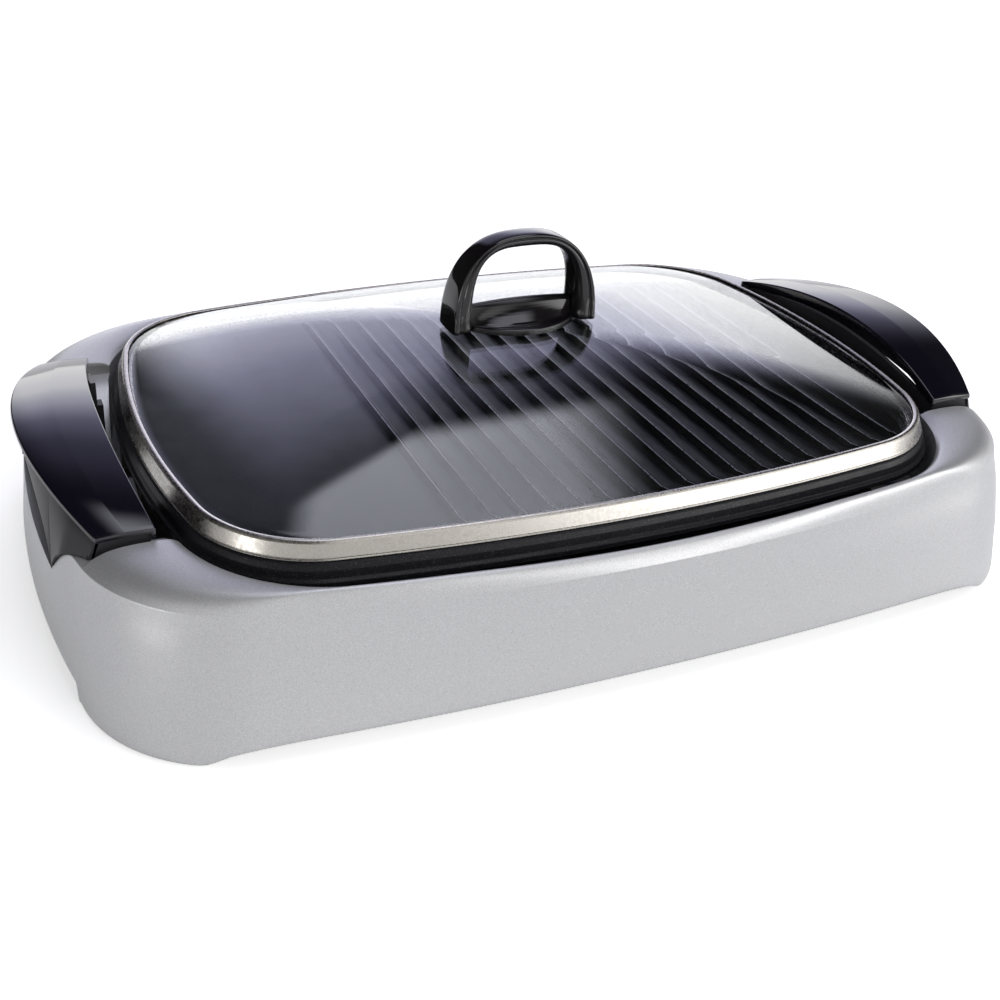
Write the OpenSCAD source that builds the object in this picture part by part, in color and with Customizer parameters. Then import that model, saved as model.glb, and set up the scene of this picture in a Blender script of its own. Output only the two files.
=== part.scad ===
// Electric indoor grill with a lift-off glass lid.
// The frame has its origin on the table under the middle of the housing, with X along
// the length, -Y at the front and +Z up. All sizes are in millimetres.

/* [Housing] */
// Length of the housing at its lower edge
body_len = 575; // [570:1:580]
// Depth of the housing at its lower edge
body_dep = 382; // [380:1:390]
// Height of the rolled edge around the opening
edge_z = 83; // [82:0.5:85]
// Thickness of the moulded wall
wall = 2.6; // [2:0.2:3]
// Height of the lower edge between the corner feet
arch_h = 11; // [8:1:16]

/* [End handles] */
// Height of the finger recess under each handle
recess_z = 50; // [49:1:53]
// Half length of the cut-out that a handle lies in
recess_half = 108; // [107:1:110]
// Height of the handle top at its ends
grip_z = 90.5; // [89:0.5:92]
// Rise of the handle top at its middle
grip_rise = 15.5; // [12:0.5:18]

/* [Grill plate] */
// Height of the plain cooking surface
cook_z = 80; // [79:0.5:81]
// Height of the ribs above the cooking surface
rib_h = 4; // [3:0.5:5]
// Distance between two ribs
rib_pitch = 16.25; // [15:0.25:17]
// Number of ribs
rib_count = 18; // [10:1:18]

/* [Lid] */
// Height of the lower edge of the steel rim
rim_z = 87.4; // [87.2:0.1:88]
// Height of the steel rim
rim_h = 10; // [9:0.5:12]
// Rise of the glass above the rim
dome_rise = 33; // [28:1:40]
// Height of the lid handle above the glass
loop_h = 56; // [52:1:60]

/* [Hidden] */
$fn = 48;

// Outlines are [half length, half depth, long arc, short arc, corner radius].
BASE_LINE = [body_len / 2, body_dep / 2, 2400, 640, 80];
SHOULDER_LINE = [body_len / 2 - 7, body_dep / 2 - 1, 1000, 560, 88];
OPENING_LINE = [235, 179, 1130, 480, 90];
LID_LINE = [228, 161, 1220, 470, 70];
// The plate, its lid and all that lies in the opening are centred on this Y
well_y = -4;

// A smaller or larger outline at a constant distance
function inset(o, d) = [for (v = o) v - d];
function blend(o, p, t) = [for (i = [0:4]) o[i] * (1 - t) + p[i] * t];
// The same shape at a smaller scale
function scaled(o, s) = [for (v = o) v * s];

// Centre of the corner arc, tangent to the long arc and to the short arc
function corner(o) =
  let (
    ca = [0, o[1] - o[2]],
    cb = [o[0] - o[3], 0],
    p = o[2] - o[4],
    q = o[3] - o[4],
    d = norm(cb - ca),
    u = (cb - ca) / d,
    s = (d * d + p * p - q * q) / (2 * d),
    h = sqrt(p * p - s * s)
  ) ca + u * s + [u.y, -u.x] * h;
function long_angle(o) =
  let (c = corner(o)) atan2(c.y - o[1] + o[2], c.x);
function short_angle(o) =
  let (c = corner(o)) atan2(c.y, c.x - o[0] + o[3]);
function polar(c, r, a) = [c.x + r * cos(a), c.y + r * sin(a)];

// One quarter from the +X end towards the +Y side
function quarter(o, n_short, n_corner, n_long) =
  let (c = corner(o), a = long_angle(o), b = short_angle(o))
  concat(
    [for (i = [0:n_short - 1]) polar([o[0] - o[3], 0], o[3], b * i / n_short)],
    [for (i = [0:n_corner - 1]) polar(c, o[4], b + (a - b) * i / n_corner)],
    [for (i = [0:n_long]) polar([0, o[1] - o[2]], o[2], a + (90 - a) * i / n_long)]
  );

// The whole outline, counter-clockwise from the +X end
function whole(q) =
  let (n = len(q) - 1)
  concat(
    [for (i = [0:n - 1]) q[i]],
    [for (i = [n:-1:1]) [-q[i].x, q[i].y]],
    [for (i = [0:n - 1]) [-q[i].x, -q[i].y]],
    [for (i = [n:-1:1]) [q[i].x, -q[i].y]]
  );
function outline(o) = whole(quarter(o, 4, 7, 5));
function at_height(pts, z) = [for (p = pts) [p.x, p.y, z]];

// A closed ring: rings of equal length, joined round the outline and back to the first
module ring_solid(rings) {
  n = len(rings[0]);
  m = len(rings);
  polyhedron(
    points = [for (r = rings) each r],
    faces = [
      for (k = [0:m - 1])
        for (i = [0:n - 1])
          [
            k * n + i,
            ((k + 1) % m) * n + i,
            ((k + 1) % m) * n + (i + 1) % n,
            k * n + (i + 1) % n
          ]
    ],
    convexity = 8
  );
}

// A closed stack: rings of equal length with a flat first and last ring
module stack_solid(rings) {
  n = len(rings[0]);
  m = len(rings);
  polyhedron(
    points = [for (r = rings) each r],
    faces = concat(
      [[for (i = [0:n - 1]) i]],
      [
        for (k = [0:m - 2])
          for (i = [0:n - 1])
            [
              k * n + i,
              (k + 1) * n + i,
              (k + 1) * n + (i + 1) % n,
              k * n + (i + 1) % n
            ]
      ],
      [[for (i = [n - 1:-1:0]) (m - 1) * n + i]]
    ),
    convexity = 8
  );
}

// A flat plate or a flat ring between two parallel outlines
module slab(o, z0, z1) {
  translate([0, 0, z0]) linear_extrude(z1 - z0) polygon(outline(o));
}
module hoop(o, outer, inner, z0, z1) {
  difference() {
    slab(inset(o, outer), z0, z1);
    slab(inset(o, inner), z0 - 1, z1 + 1);
  }
}
module in_well() {
  translate([0, well_y, 0]) children();
}
module four_ways(p) {
  for (sx = [-1, 1])
    for (sy = [-1, 1])
      translate([sx * p.x, sy * p.y, p.z]) children();
}
module both_ends() {
  children();
  mirror([1, 0, 0]) children();
}

// ---- Housing: one moulded shell with a recess at each end --------------------------
tower_y = recess_half;
flank_y = 60;
flank_rise = 28;
tower_step = 4;
ledge_z = 44;
ledge_in = 25;
bottom_z = 1.5;
// Stations across each end, dense where the recess flank is curved
END_Y = [0, 20, 40, 52, 60, 67, 74, 81, 88, 96, tower_y - tower_step, tower_y];
// Stations round each corner as shares of its arc, dense where the foot ends
CORNER_T = [0.15, 0.31, 0.47, 0.62, 0.77, 0.82, 0.87];

// Height of the recess surface at a distance y from the middle of the end
function recess(y) =
  let (
    a = abs(y),
    f = tower_y - tower_step,
    u = (a - flank_y) / (f - flank_y)
  )
  a <= flank_y ? recess_z
  : a <= f ? recess_z + flank_rise * (1 - (1 - u) * (1 - u))
  : a < tower_y ? recess_z + flank_rise
  : 200;

// X of an outline at a given Y, on its short arc or on its corner arc
function x_at(o, y) =
  let (c = corner(o), t = o[3] * sin(short_angle(o)))
  abs(y) < t
  ? o[0] - o[3] + sqrt(o[3] * o[3] - y * y)
  : c.x + sqrt(o[4] * o[4] - pow(abs(y) - c.y, 2));

// A quarter whose first points lie at the same END_Y stations on every outline
function end_quarter(o, dy) =
  let (
    c = corner(o),
    a = long_angle(o),
    e = END_Y[len(END_Y) - 1] - dy,
    b = asin((e - c.y) / o[4])
  )
  concat(
    [for (y = END_Y) [x_at(o, y - dy), y - dy]],
    [for (t = CORNER_T) polar(c, o[4], b + (a - b) * t)],
    [for (t = [0, 0.035, 0.2, 0.4, 0.6, 0.8, 1]) polar([0, o[1] - o[2]], o[2], a + (90 - a) * t)]
  );
// A whole ring with its outline centred on Y = cy but its stations at END_Y
function end_ring(o, cy) =
  let (r = end_quarter(o, cy), f = end_quarter(o, -cy), n = len(r) - 1)
  concat(
    [for (i = [0:n - 1]) [r[i].x, r[i].y + cy]],
    [for (i = [n:-1:1]) [-r[i].x, r[i].y + cy]],
    [for (i = [0:n - 1]) [-f[i].x, cy - f[i].y]],
    [for (i = [n:-1:1]) [f[i].x, cy - f[i].y]]
  );

// The lower edge: on the table at the corners, raised between them. It drops to the
// foot in one step at the end, and climbs away from it in a short curve at the side.
foot_first = len(END_Y) - 1;
foot_last = foot_first + 5;
FOOT_CLIMB = [0.45, 0.65, 0.85, 1];
function lower_edge(i, n) =
  let (q = i % (2 * n), s = q <= n ? q : 2 * n - q, k = min(s - foot_last, 4) - 1)
  s < foot_first ? arch_h
  : s <= foot_last ? bottom_z
  : bottom_z + (arch_h - bottom_z) * FOOT_CLIMB[k];
function edge_ring(o) =
  let (p = end_ring(o, 0), n = len(p) / 4)
  [for (i = [0:len(p) - 1]) [p[i].x, p[i].y, lower_edge(i, n)]];

// Outer rings follow the recess; inner rings stay one wall below it
function outer_ring(o, cy, z) =
  [for (p = end_ring(o, cy)) [p.x, p.y, min(z, recess(p.y))]];
function inner_ring(o, cy, z) =
  [for (p = end_ring(o, cy)) [p.x, p.y, min(z, recess(max(0, abs(p.y) - wall)) - wall)]];

// Wall from the table to the shoulder as [blend, height]
WALL_UP = [[0.3, 34], [0.62, 56], [0.88, 69], [1, 76]];
// Top from the shoulder to the opening as [blend, height over the opening edge]
TOP_IN = [[0.13, -1.6], [0.32, 1.6], [0.62, 2.6], [0.94, 1.2]];

module housing_shell() {
  ring_solid(concat(
    [edge_ring(BASE_LINE)],
    [for (s = WALL_UP) outer_ring(blend(BASE_LINE, SHOULDER_LINE, s[0]), 0, s[1])],
    [
      for (s = TOP_IN)
        outer_ring(blend(SHOULDER_LINE, OPENING_LINE, s[0]), well_y * s[0], edge_z + s[1])
    ],
    [
      outer_ring(OPENING_LINE, well_y, edge_z - 1),
      outer_ring(inset(OPENING_LINE, 0.4), well_y, ledge_z),
      outer_ring(inset(OPENING_LINE, ledge_in), well_y, ledge_z),
      inner_ring(inset(OPENING_LINE, ledge_in), well_y, ledge_z - wall),
      inner_ring(inset(OPENING_LINE, -wall), well_y, ledge_z - wall),
      inner_ring(inset(OPENING_LINE, -wall), well_y, edge_z - 3.5),
      inner_ring(inset(SHOULDER_LINE, wall), 0, 74)
    ],
    [
      for (i = [2, 1, 0])
        inner_ring(inset(blend(BASE_LINE, SHOULDER_LINE, WALL_UP[i][0]), wall), 0, WALL_UP[i][1])
    ],
    [edge_ring(inset(BASE_LINE, wall))]
  ));
}

// Everything above the recess surface, from x0 to x1
RECESS_Y = [for (y = END_Y) if (y < tower_y) y];
module above_recess(lift, x0, x1) {
  n = len(RECESS_Y) - 1;
  low = concat(
    [for (i = [n:-1:1]) [-RECESS_Y[i], recess(RECESS_Y[i]) + lift]],
    [for (y = RECESS_Y) [y, recess(y) + lift]]
  );
  translate([x0, 0, 0]) rotate([90, 0, 90]) linear_extrude(x1 - x0)
    polygon(concat(low, [[RECESS_Y[n], 200], [-RECESS_Y[n], 200]]));
}

foot_r = 8;
foot_h = 6;
foot_at = polar(corner(BASE_LINE), BASE_LINE[4] - 14, 48);
grip_screw = [258, 78, 56];
screw_r = 2;
// Y of an outline at a given X on its long arc
function y_at(o, x) = o[1] - o[2] + sqrt(o[2] * o[2] - x * x);
rest_at = [150, y_at(inset(OPENING_LINE, 12), 150), ledge_z];
tie_at = [60, y_at(inset(OPENING_LINE, 21.5), 60), ledge_z];

module housing() {
  color("#b9babd") difference() {
    union() {
      housing_shell();
      four_ways([foot_at.x, foot_at.y, 3]) cylinder(r = foot_r + 2.4, h = 15);
      difference() {
        four_ways(grip_screw) cylinder(r = 6, h = 20);
        above_recess(-1, -300, 600);
      }
      in_well() {
        four_ways([rest_at.x, rest_at.y, ledge_z - 9]) cylinder(r = 5, h = 8);
        four_ways([tie_at.x, tie_at.y, ledge_z - 9]) cylinder(r = 4.2, h = 8);
      }
    }
    four_ways([foot_at.x, foot_at.y, -1]) cylinder(r = foot_r, h = foot_h + 1);
    four_ways([grip_screw.x, grip_screw.y, 50]) cylinder(r = screw_r + 0.3, h = 40);
    in_well() {
      four_ways([rest_at.x, rest_at.y, ledge_z - 7]) cylinder(r = 3, h = 8);
      four_ways([tie_at.x, tie_at.y, ledge_z - 8]) cylinder(r = screw_r, h = 9);
    }
  }
}

module rubber_feet() {
  color("#1c1c1c") four_ways([foot_at.x, foot_at.y, 0]) cylinder(r = foot_r, h = foot_h);
}

// ---- End handles ---------------------------------------------------------------------
grip_half = recess_half - 4.5;
grip_in = 234;
grip_in_bow = 10;
grip_out = 263;
grip_out_bow = 24.5;
grip_lip = 5;
grip_arch = 62;
grip_arch_top = 91;
liner_h = 2.2;
skirt_gap = 0.8;

function bow(y) = 1 - pow(y / grip_half, 2);
function skirt_z(y) =
  let (a = abs(y), foot = recess(grip_arch) + skirt_gap)
  a < grip_arch
  ? foot + (grip_arch_top - foot) * sqrt(1 - pow(a / grip_arch, 2))
  : recess(a) + skirt_gap;

// Cross-section of the cover at Y: a top, a short inner lip and a long outer skirt
function grip_section(y, filled) =
  let (
    z = grip_z + grip_rise * bow(y),
    xi = grip_in + grip_in_bow * bow(y),
    xo = grip_out + grip_out_bow * bow(y),
    xs = x_at(blend(BASE_LINE, SHOULDER_LINE, 0.6), y) + 0.8,
    zs = skirt_z(y),
    lip = [xi, z - grip_lip],
    tip = [xs, zs],
    skin = [lip, [xi, z - 1], [xi + 1, z], [xo - 1.6, z - 0.8], [xo, z - 2.4], tip],
    inside = filled
    ? [for (t = [0.2, 0.4, 0.6, 0.8]) tip * (1 - t) + lip * t]
    : [[xs - wall, zs], [xo - 3.4, z - 5], [xi + wall, z - 3], [xi + wall, z - grip_lip]]
  ) [for (p = concat(skin, inside)) [p.x, y, p.y]];

GRIP_Y = [0, 14, 28, 40, 50, 56, 59.5, 61.5, 62.5, 66, 71, 77, 84, 92, grip_half - wall - 0.2];
module cover_shell() {
  n = len(GRIP_Y) - 1;
  ends = [grip_half - wall, grip_half];
  stack_solid(concat(
    [for (i = [1, 0]) grip_section(-ends[i], true)],
    [for (i = [n:-1:1]) grip_section(-GRIP_Y[i], false)],
    [for (y = GRIP_Y) grip_section(y, false)],
    [for (y = ends) grip_section(y, true)]
  ));
}
module two_sides(p) {
  for (s = [-1, 1]) translate([p.x, s * p.y, p.z]) children();
}
module handle_cover() {
  color("#0d0d10") difference() {
    union() {
      cover_shell();
      intersection() {
        two_sides(grip_screw) cylinder(r = 4.8, h = 39);
        above_recess(liner_h, 200, 320);
      }
    }
    two_sides(grip_screw) cylinder(r = screw_r, h = 31);
  }
}
module right_handle_cover() handle_cover();
module left_handle_cover() mirror([1, 0, 0]) handle_cover();

// A base that lies on the recess: a liner that carries the two posts of the cover, and a
// heat shield that stands between the well and the hand, up to just below the cover's lip
shield_x = 236.5;
shield_t = 3;
shield_half = grip_half - 2;
inlet_half = 58;
jamb_x = 233.2;
jamb_t = 8;
jamb_top = 80;
module shield() {
  lip = grip_z - grip_lip - 1.5;
  top = [for (y = [-shield_half:shield_half / 8:shield_half]) [y, lip + grip_rise * bow(y)]];
  intersection() {
    above_recess(0, shield_x, shield_x + shield_t);
    translate([shield_x - 1, 0, 0]) rotate([90, 0, 90]) linear_extrude(shield_t + 2)
      polygon(concat([[-shield_half, 0]], top, [[shield_half, 0]]));
  }
}
module liner() {
  difference() {
    intersection() {
      above_recess(0, shield_x + 1, 267);
      translate([200, -shield_half, 0]) cube([100, 2 * shield_half, 100]);
    }
    above_recess(liner_h, 230, 300);
    two_sides([grip_screw.x, grip_screw.y, 40]) cylinder(r = screw_r + 0.3, h = 60);
  }
}
module right_handle_base() {
  color("#17171a") {
    liner();
    shield();
  }
}
// The left shield is open in the middle for the control, between two jambs
module left_handle_base() {
  color("#17171a") mirror([1, 0, 0]) {
    liner();
    difference() {
      shield();
      translate([shield_x - 1, -inlet_half, 0]) cube([shield_t + 2, 2 * inlet_half, 150]);
    }
    intersection() {
      above_recess(0, jamb_x, shield_x + 2);
      for (s = [-1, 1]) translate([200, s * (inlet_half + jamb_t / 2) - jamb_t / 2, 0])
        cube([100, jamb_t, jamb_top]);
    }
  }
}

// A pan-head screw that points up, with the underside of its head at z = 0
module pan_screw(r, len, head_r, head_h) {
  cylinder(r = r, h = len);
  translate([0, 0, -head_h]) cylinder(r1 = head_r * 0.8, r2 = head_r, h = head_h);
}
module handle_screws() {
  color("#8d9094") four_ways(grip_screw) pan_screw(screw_r, 30, 4, 2.6);
}

// ---- Heat reflector and drip tray in the well ----------------------------------------
pan_floor = 16;
sheet = 1;
module heat_reflector() {
  color("#9a9da1") in_well() difference() {
    union() {
      hoop(OPENING_LINE, 18, 27, ledge_z, ledge_z + sheet);
      hoop(OPENING_LINE, 26, 27, pan_floor, ledge_z + sheet);
      slab(inset(OPENING_LINE, 26), pan_floor, pan_floor + sheet);
    }
    four_ways([tie_at.x, tie_at.y, ledge_z - 1]) cylinder(r = screw_r + 0.2, h = 4);
  }
}
module reflector_screws() {
  color("#8d9094") in_well() four_ways([tie_at.x, tie_at.y, ledge_z + sheet])
    mirror([0, 0, 1]) pan_screw(screw_r, 8, 3.2, 2.2);
}
module plate_rests() {
  color("#2a2622") in_well() four_ways([rest_at.x, rest_at.y, ledge_z]) {
    cylinder(r = 5, h = cook_z - 4 - ledge_z);
    translate([0, 0, -6]) cylinder(r = 3, h = 6.1);
  }
}

tray_z = pan_floor + sheet;
tray_h = 25;
module drip_tray() {
  color("#6c6f73") in_well() stack_solid([
    for (s = [[40, 0], [33, tray_h - 1], [29, tray_h - 1], [29, tray_h], [34, tray_h], [41, 1]])
      at_height(outline(inset(OPENING_LINE, s[0])), tray_z + s[1])
  ]);
}

// ---- Grill plate: plain on the left, ribbed on the right -----------------------------
plate_low = cook_z - 4;
first_rib = -87;
rim_seat = rim_z;
rod_r = 3.5;
rod_z = plate_low - rod_r;
// Clamps over the element as [x, y, angle]
CLAMPS = [
  [0, -120, 0], [0, 120, 0], [-163.5, -68, 90], [-163.5, 68, 90], [40, -35, 0], [40, 35, 0]
];
clamp_half = 8;
guard_x = [-230, -198];
guard_half = 31;
guard_z = plate_low - 24;
term_z = plate_low - 14;
pin_y = 16;
pin_r = 3.2;
pin_len = 20;
neck_r = 2.4;
ear_at = [-206, 37];
tube_r = 4.5;
tube_bore = 3.3;
tube_x = [-222, -146];

// Cast dish as [inset from the lid outline, height]
PLATE_RINGS = [
  [-4.5, plate_low], [-4.5, plate_low + 3], [-2.6, plate_low + 4], [-2, plate_low + 8],
  [-0.6, rim_seat - 0.8], [0.3, rim_seat], [4.6, rim_seat], [5.6, rim_seat - 1],
  [7.4, cook_z + 1.4], [9.5, cook_z]
];

module rib(x) {
  translate([x, 0, 0]) rotate([90, 0, 0]) linear_extrude(2 * LID_LINE[1], center = true)
    polygon([
      [-2.9, cook_z - 0.5], [2.9, cook_z - 0.5], [1.8, cook_z + rib_h * 0.8],
      [0.9, cook_z + rib_h], [-0.9, cook_z + rib_h], [-1.8, cook_z + rib_h * 0.8]
    ]);
}
module slot(l, r, h) {
  translate([-r, -l / 2 + r, 0]) cube([2 * r, l - 2 * r, h]);
  for (s = [-1, 1]) translate([0, s * (l / 2 - r), 0]) cylinder(r = r, h = h);
}
module grill_plate() {
  color("#1b1b1e") in_well() difference() {
    union() {
      stack_solid([
        for (s = PLATE_RINGS) at_height(outline(inset(LID_LINE, s[0])), s[1])
      ]);
      intersection() {
        for (k = [0:rib_count - 1]) rib(first_rib + rib_pitch * k);
        slab(inset(LID_LINE, 13), cook_z - 1, cook_z + rib_h + 1);
      }
      for (c = CLAMPS) translate([c[0], c[1], rod_z - rod_r]) rotate([0, 0, c[2]])
        for (s = [-1, 1]) translate([0, s * clamp_half, 0]) cylinder(r = 3.6, h = 8);
      translate([-190, -7, term_z - 7]) cube([38, 14, plate_low - term_z + 8]);
    }
    for (k = [8:10]) translate([first_rib + rib_pitch * (k + 0.5), 128, plate_low - 1])
      slot(20, 3, 6);
    for (c = CLAMPS) translate([c[0], c[1], rod_z - rod_r - 1]) rotate([0, 0, c[2]])
      for (s = [-1, 1]) translate([0, s * clamp_half, 0]) cylinder(r = 1.7, h = 7.5);
    translate([-200, 0, term_z]) rotate([0, 90, 0]) cylinder(r = tube_r, h = 60);
    for (s = [-1, 1]) translate([ear_at.x, s * ear_at.y, plate_low - 1])
      cylinder(r = 1.7, h = 3.6);
  }
}

// A bent rod: each step is ["go", length] or [direction, bend radius, angle]
function roll(way) = way == "left" ? 0 : way == "up" ? 90 : way == "right" ? 180 : 270;
module rod(steps, k = 0) {
  if (k < len(steps)) {
    s = steps[k];
    if (s[0] == "go") {
      rotate([0, 90, 0]) cylinder(r = rod_r, h = s[1]);
      translate([s[1], 0, 0]) rod(steps, k + 1);
    } else {
      rotate([roll(s[0]), 0, 0]) {
        translate([0, s[1], 0]) rotate([0, 0, -90]) rotate_extrude(angle = s[2])
          translate([s[1], 0]) circle(r = rod_r);
        translate([s[1] * sin(s[2]), s[1] * (1 - cos(s[2])), 0]) rotate([0, 0, s[2]])
          rotate([-roll(s[0]), 0, 0]) rod(steps, k + 1);
      }
    }
  }
}
crank_r = (rod_z - term_z) / 2;
bend_r = 20;
module heating_element() {
  half_loop = [
    ["go", 4], ["up", crank_r, 90], ["down", crank_r, 90], ["right", bend_r, 90], ["go", 64],
    ["left", bend_r, 90], ["go", 293], ["left", bend_r, 90], ["go", 45],
    ["left", bend_r, 90], ["go", 250]
  ];
  back_half = [
    ["go", 250], ["left", bend_r, 90], ["go", 45], ["left", bend_r, 90], ["go", 293],
    ["left", bend_r, 90], ["go", 64], ["right", bend_r, 90], ["down", crank_r, 90],
    ["up", crank_r, 90], ["go", 4]
  ];
  color("#55504c") in_well() translate([guard_x[1], -pin_y, term_z])
    rod(concat(half_loop, [["right", bend_r + 15, 180]], back_half));
}
module element_clamps() {
  color("#a7a9ac") in_well() for (c = CLAMPS)
    translate([c[0], c[1], rod_z - rod_r - 1]) rotate([0, 0, c[2]]) difference() {
      translate([-5, -12, 0]) cube([10, 24, 1]);
      for (s = [-1, 1]) translate([0, s * clamp_half, -1]) cylinder(r = 1.9, h = 3);
    }
}
module clamp_screws() {
  color("#8d9094") in_well() for (c = CLAMPS)
    translate([c[0], c[1], rod_z - rod_r - 1]) rotate([0, 0, c[2]])
      for (s = [-1, 1]) translate([0, s * clamp_half, 0]) pan_screw(1.7, 7, 3, 1.8);
}

// ---- Inlet for the detachable control -------------------------------------------------
guard_wall = 2;
module guard_hole(y, r) {
  translate([guard_x[1] - 5, y, term_z]) rotate([0, 90, 0]) cylinder(r = r, h = 10);
}
module terminal_guard() {
  l = guard_x[1] - guard_x[0];
  color("#141416") in_well() difference() {
    union() {
      translate([guard_x[0], -guard_half, guard_z])
        cube([l, 2 * guard_half, plate_low - guard_z]);
      for (s = [-1, 1]) translate([ear_at.x - 6, s * ear_at.y - 6.5, plate_low - 4])
        cube([12, 13, 4]);
    }
    translate([guard_x[0] - 1, -guard_half + guard_wall, guard_z + guard_wall])
      cube([l - 1, 2 * (guard_half - guard_wall), plate_low - guard_z - 2 * guard_wall]);
    for (s = [-1, 1]) {
      guard_hole(s * pin_y, neck_r);
      translate([ear_at.x, s * ear_at.y, plate_low - 5]) cylinder(r = 1.9, h = 6);
    }
    guard_hole(0, tube_r);
    translate([guard_x[1] - 5, 6, guard_z + guard_wall]) cube([10, 5, 0.8]);
  }
}
module guard_screws() {
  color("#8d9094") in_well() for (s = [-1, 1])
    translate([ear_at.x, s * ear_at.y, plate_low - 4]) pan_screw(1.7, 6.4, 3, 1.8);
}
module contact_pin(y) {
  color("#c9cacc") in_well() translate([guard_x[1], y, term_z]) rotate([0, -90, 0]) {
    cylinder(r = neck_r, h = guard_wall);
    translate([0, 0, guard_wall]) cylinder(r = pin_r, h = pin_len);
    translate([0, 0, guard_wall + pin_len]) cylinder(r1 = pin_r, r2 = pin_r - 1.4, h = 2);
  }
}
module live_pin() contact_pin(-pin_y);
module neutral_pin() contact_pin(pin_y);
module earth_contact() {
  color("#c9cacc") in_well() {
    translate([guard_x[0] + 4, 6, guard_z + guard_wall]) cube([29, 5, 0.8]);
    translate([guard_x[1] + 0.2, 6, guard_z + guard_wall])
      cube([0.8, 5, plate_low - guard_z - guard_wall]);
  }
}
module probe_tube() {
  color("#b4b6b8") in_well() translate([tube_x[0], 0, term_z]) rotate([0, 90, 0])
    difference() {
      cylinder(r = tube_r, h = tube_x[1] - tube_x[0]);
      translate([0, 0, -1]) cylinder(r = tube_bore, h = tube_x[1] - tube_x[0] - 2);
    }
}

// ---- Lid ---------------------------------------------------------------------------------
steel = 0.8;
seal = 0.6;
glass_t = 4;
rim_top = rim_z + rim_h;
glass_top = rim_top - steel - seal;
glass_low = glass_top - glass_t;
dome_in = 7;
DOME = [1, 0.93, 0.8, 0.62, 0.42, 0.2, 0.07];
function dome_z(s) = dome_rise * (1 - pow(s, 2.4));
function dome_ring(s, z) = at_height(outline(scaled(inset(LID_LINE, dome_in), s)), z + dome_z(s));
apex = glass_top + dome_z(DOME[len(DOME) - 1]);

module lid_glass() {
  n = len(DOME) - 1;
  edge = outline(inset(LID_LINE, steel + seal));
  color("#aebfca", 0.35) in_well() difference() {
    stack_solid(concat(
      [for (i = [n:-1:0]) dome_ring(DOME[i], glass_low)],
      [at_height(edge, glass_low), at_height(edge, glass_top)],
      [for (s = DOME) dome_ring(s, glass_top)]
    ));
    translate([0, 0, apex - 20]) cylinder(r = 3, h = 40);
  }
}
module rim_seal() {
  color("#202022") in_well() {
    hoop(LID_LINE, steel, steel + seal, glass_low - seal, rim_top - steel);
    hoop(LID_LINE, steel, 6, glass_top, rim_top - steel);
    hoop(LID_LINE, steel, 6, glass_low - seal, glass_low);
  }
}
// A rolled steel channel with a foot that rests on the plate and a lip that drops inside it
module lid_rim() {
  color("#d7d3cd") in_well() {
    hoop(LID_LINE, 0, steel, rim_z, rim_top);
    hoop(LID_LINE, 0, 6.4, rim_top - steel, rim_top);
    hoop(LID_LINE, 0, 6.4, glass_low - seal - steel, glass_low - seal);
    hoop(LID_LINE, 0, 8.6, rim_z, rim_z + steel);
    hoop(LID_LINE, 7.8, 8.6, rim_z - 3, rim_z + steel);
  }
}

gasket_h = 1;
plinth_z = apex + gasket_h;
loop_z = apex + 0.2;
loop_out = 46;
loop_in = 32.7;
loop_bar = 8;
loop_deep = 12.7;
loop_slim = 7;
bridge_half = 4.5;
bridge_h = 4;
boss_r = 5;
boss_h = 8;
LOOP_A = concat([0, 4, 10, 18, 26], [for (i = [4:16]) 9 * i], [154, 162, 170, 176, 180]);
// Superellipse point at angle a, as [x, z]
function super(rx, rz, n, a) =
  [rx * sign(cos(a)) * pow(abs(cos(a)), 2 / n), rz * pow(abs(sin(a)), 2 / n)];
function loop_ring(a) =
  let (
    p = super(loop_out, loop_h, 2.5, a),
    q = super(loop_in, loop_h - loop_bar, 3.7, a),
    c = (p + q) / 2,
    u = (p - q) / 2,
    w = loop_slim + (loop_deep - loop_slim) * pow(1 - sin(a), 0.7)
  )
  [
    for (t = [0:30:330])
      let (s = super(1, 1, 2.6, t), sy = sign(sin(t)) * s.y)
      [c.x + u.x * s.x, w * sy, loop_z + c.y + u.y * s.x]
  ];
// The bar that joins the two legs, with the boss that the knob screw bites into
module bridge(half_x, below, gap) {
  translate([-half_x, -bridge_half, plinth_z - below])
    cube([2 * half_x, 2 * bridge_half, bridge_h + below]);
  translate([0, 0, plinth_z - below]) cylinder(r = boss_r + gap, h = boss_h + below + gap);
}
module lid_handle() {
  color("#101013") in_well() difference() {
    union() {
      stack_solid([for (a = LOOP_A) loop_ring(a)]);
      bridge(loop_in + 2, 0, 0);
    }
    translate([0, 0, plinth_z - 1]) cylinder(r = 2.4, h = 5.5);
  }
}
// A lens-shaped plinth with a low rim: its front is a dish for the finger tips and its
// middle rises in a hump between the two legs of the loop
lens_half = 38;
lens_deep = 22;
plinth_half = 32;
rim_step = 3;
hump_h = 13.5;
function lens_y(x) =
  let (r = (lens_half * lens_half + lens_deep * lens_deep) / (2 * lens_deep))
  sqrt(r * r - x * x) - r + lens_deep;
function plinth_section(x) =
  let (
    w = lens_y(x),
    h = hump_h + 1.5 * (1 - pow(x / plinth_half, 2)),
    z0 = rim_step + 0.6,
    y0 = 1.5 - w
  )
  concat(
    [[-w, 0], [-w, rim_step]],
    [for (t = [0, 0.3, 0.55, 0.75, 0.9]) [y0 + (-2.5 - y0) * t, z0 + (h - 1 - z0) * pow(t, 3)]],
    [[-1, h], [1.5, h], [3.5, h - 1.5], [(3.5 + w) / 2, (h + z0) / 2 - 2.5]],
    [[w - 0.6, z0], [w, rim_step], [w, 0]]
  );
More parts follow.
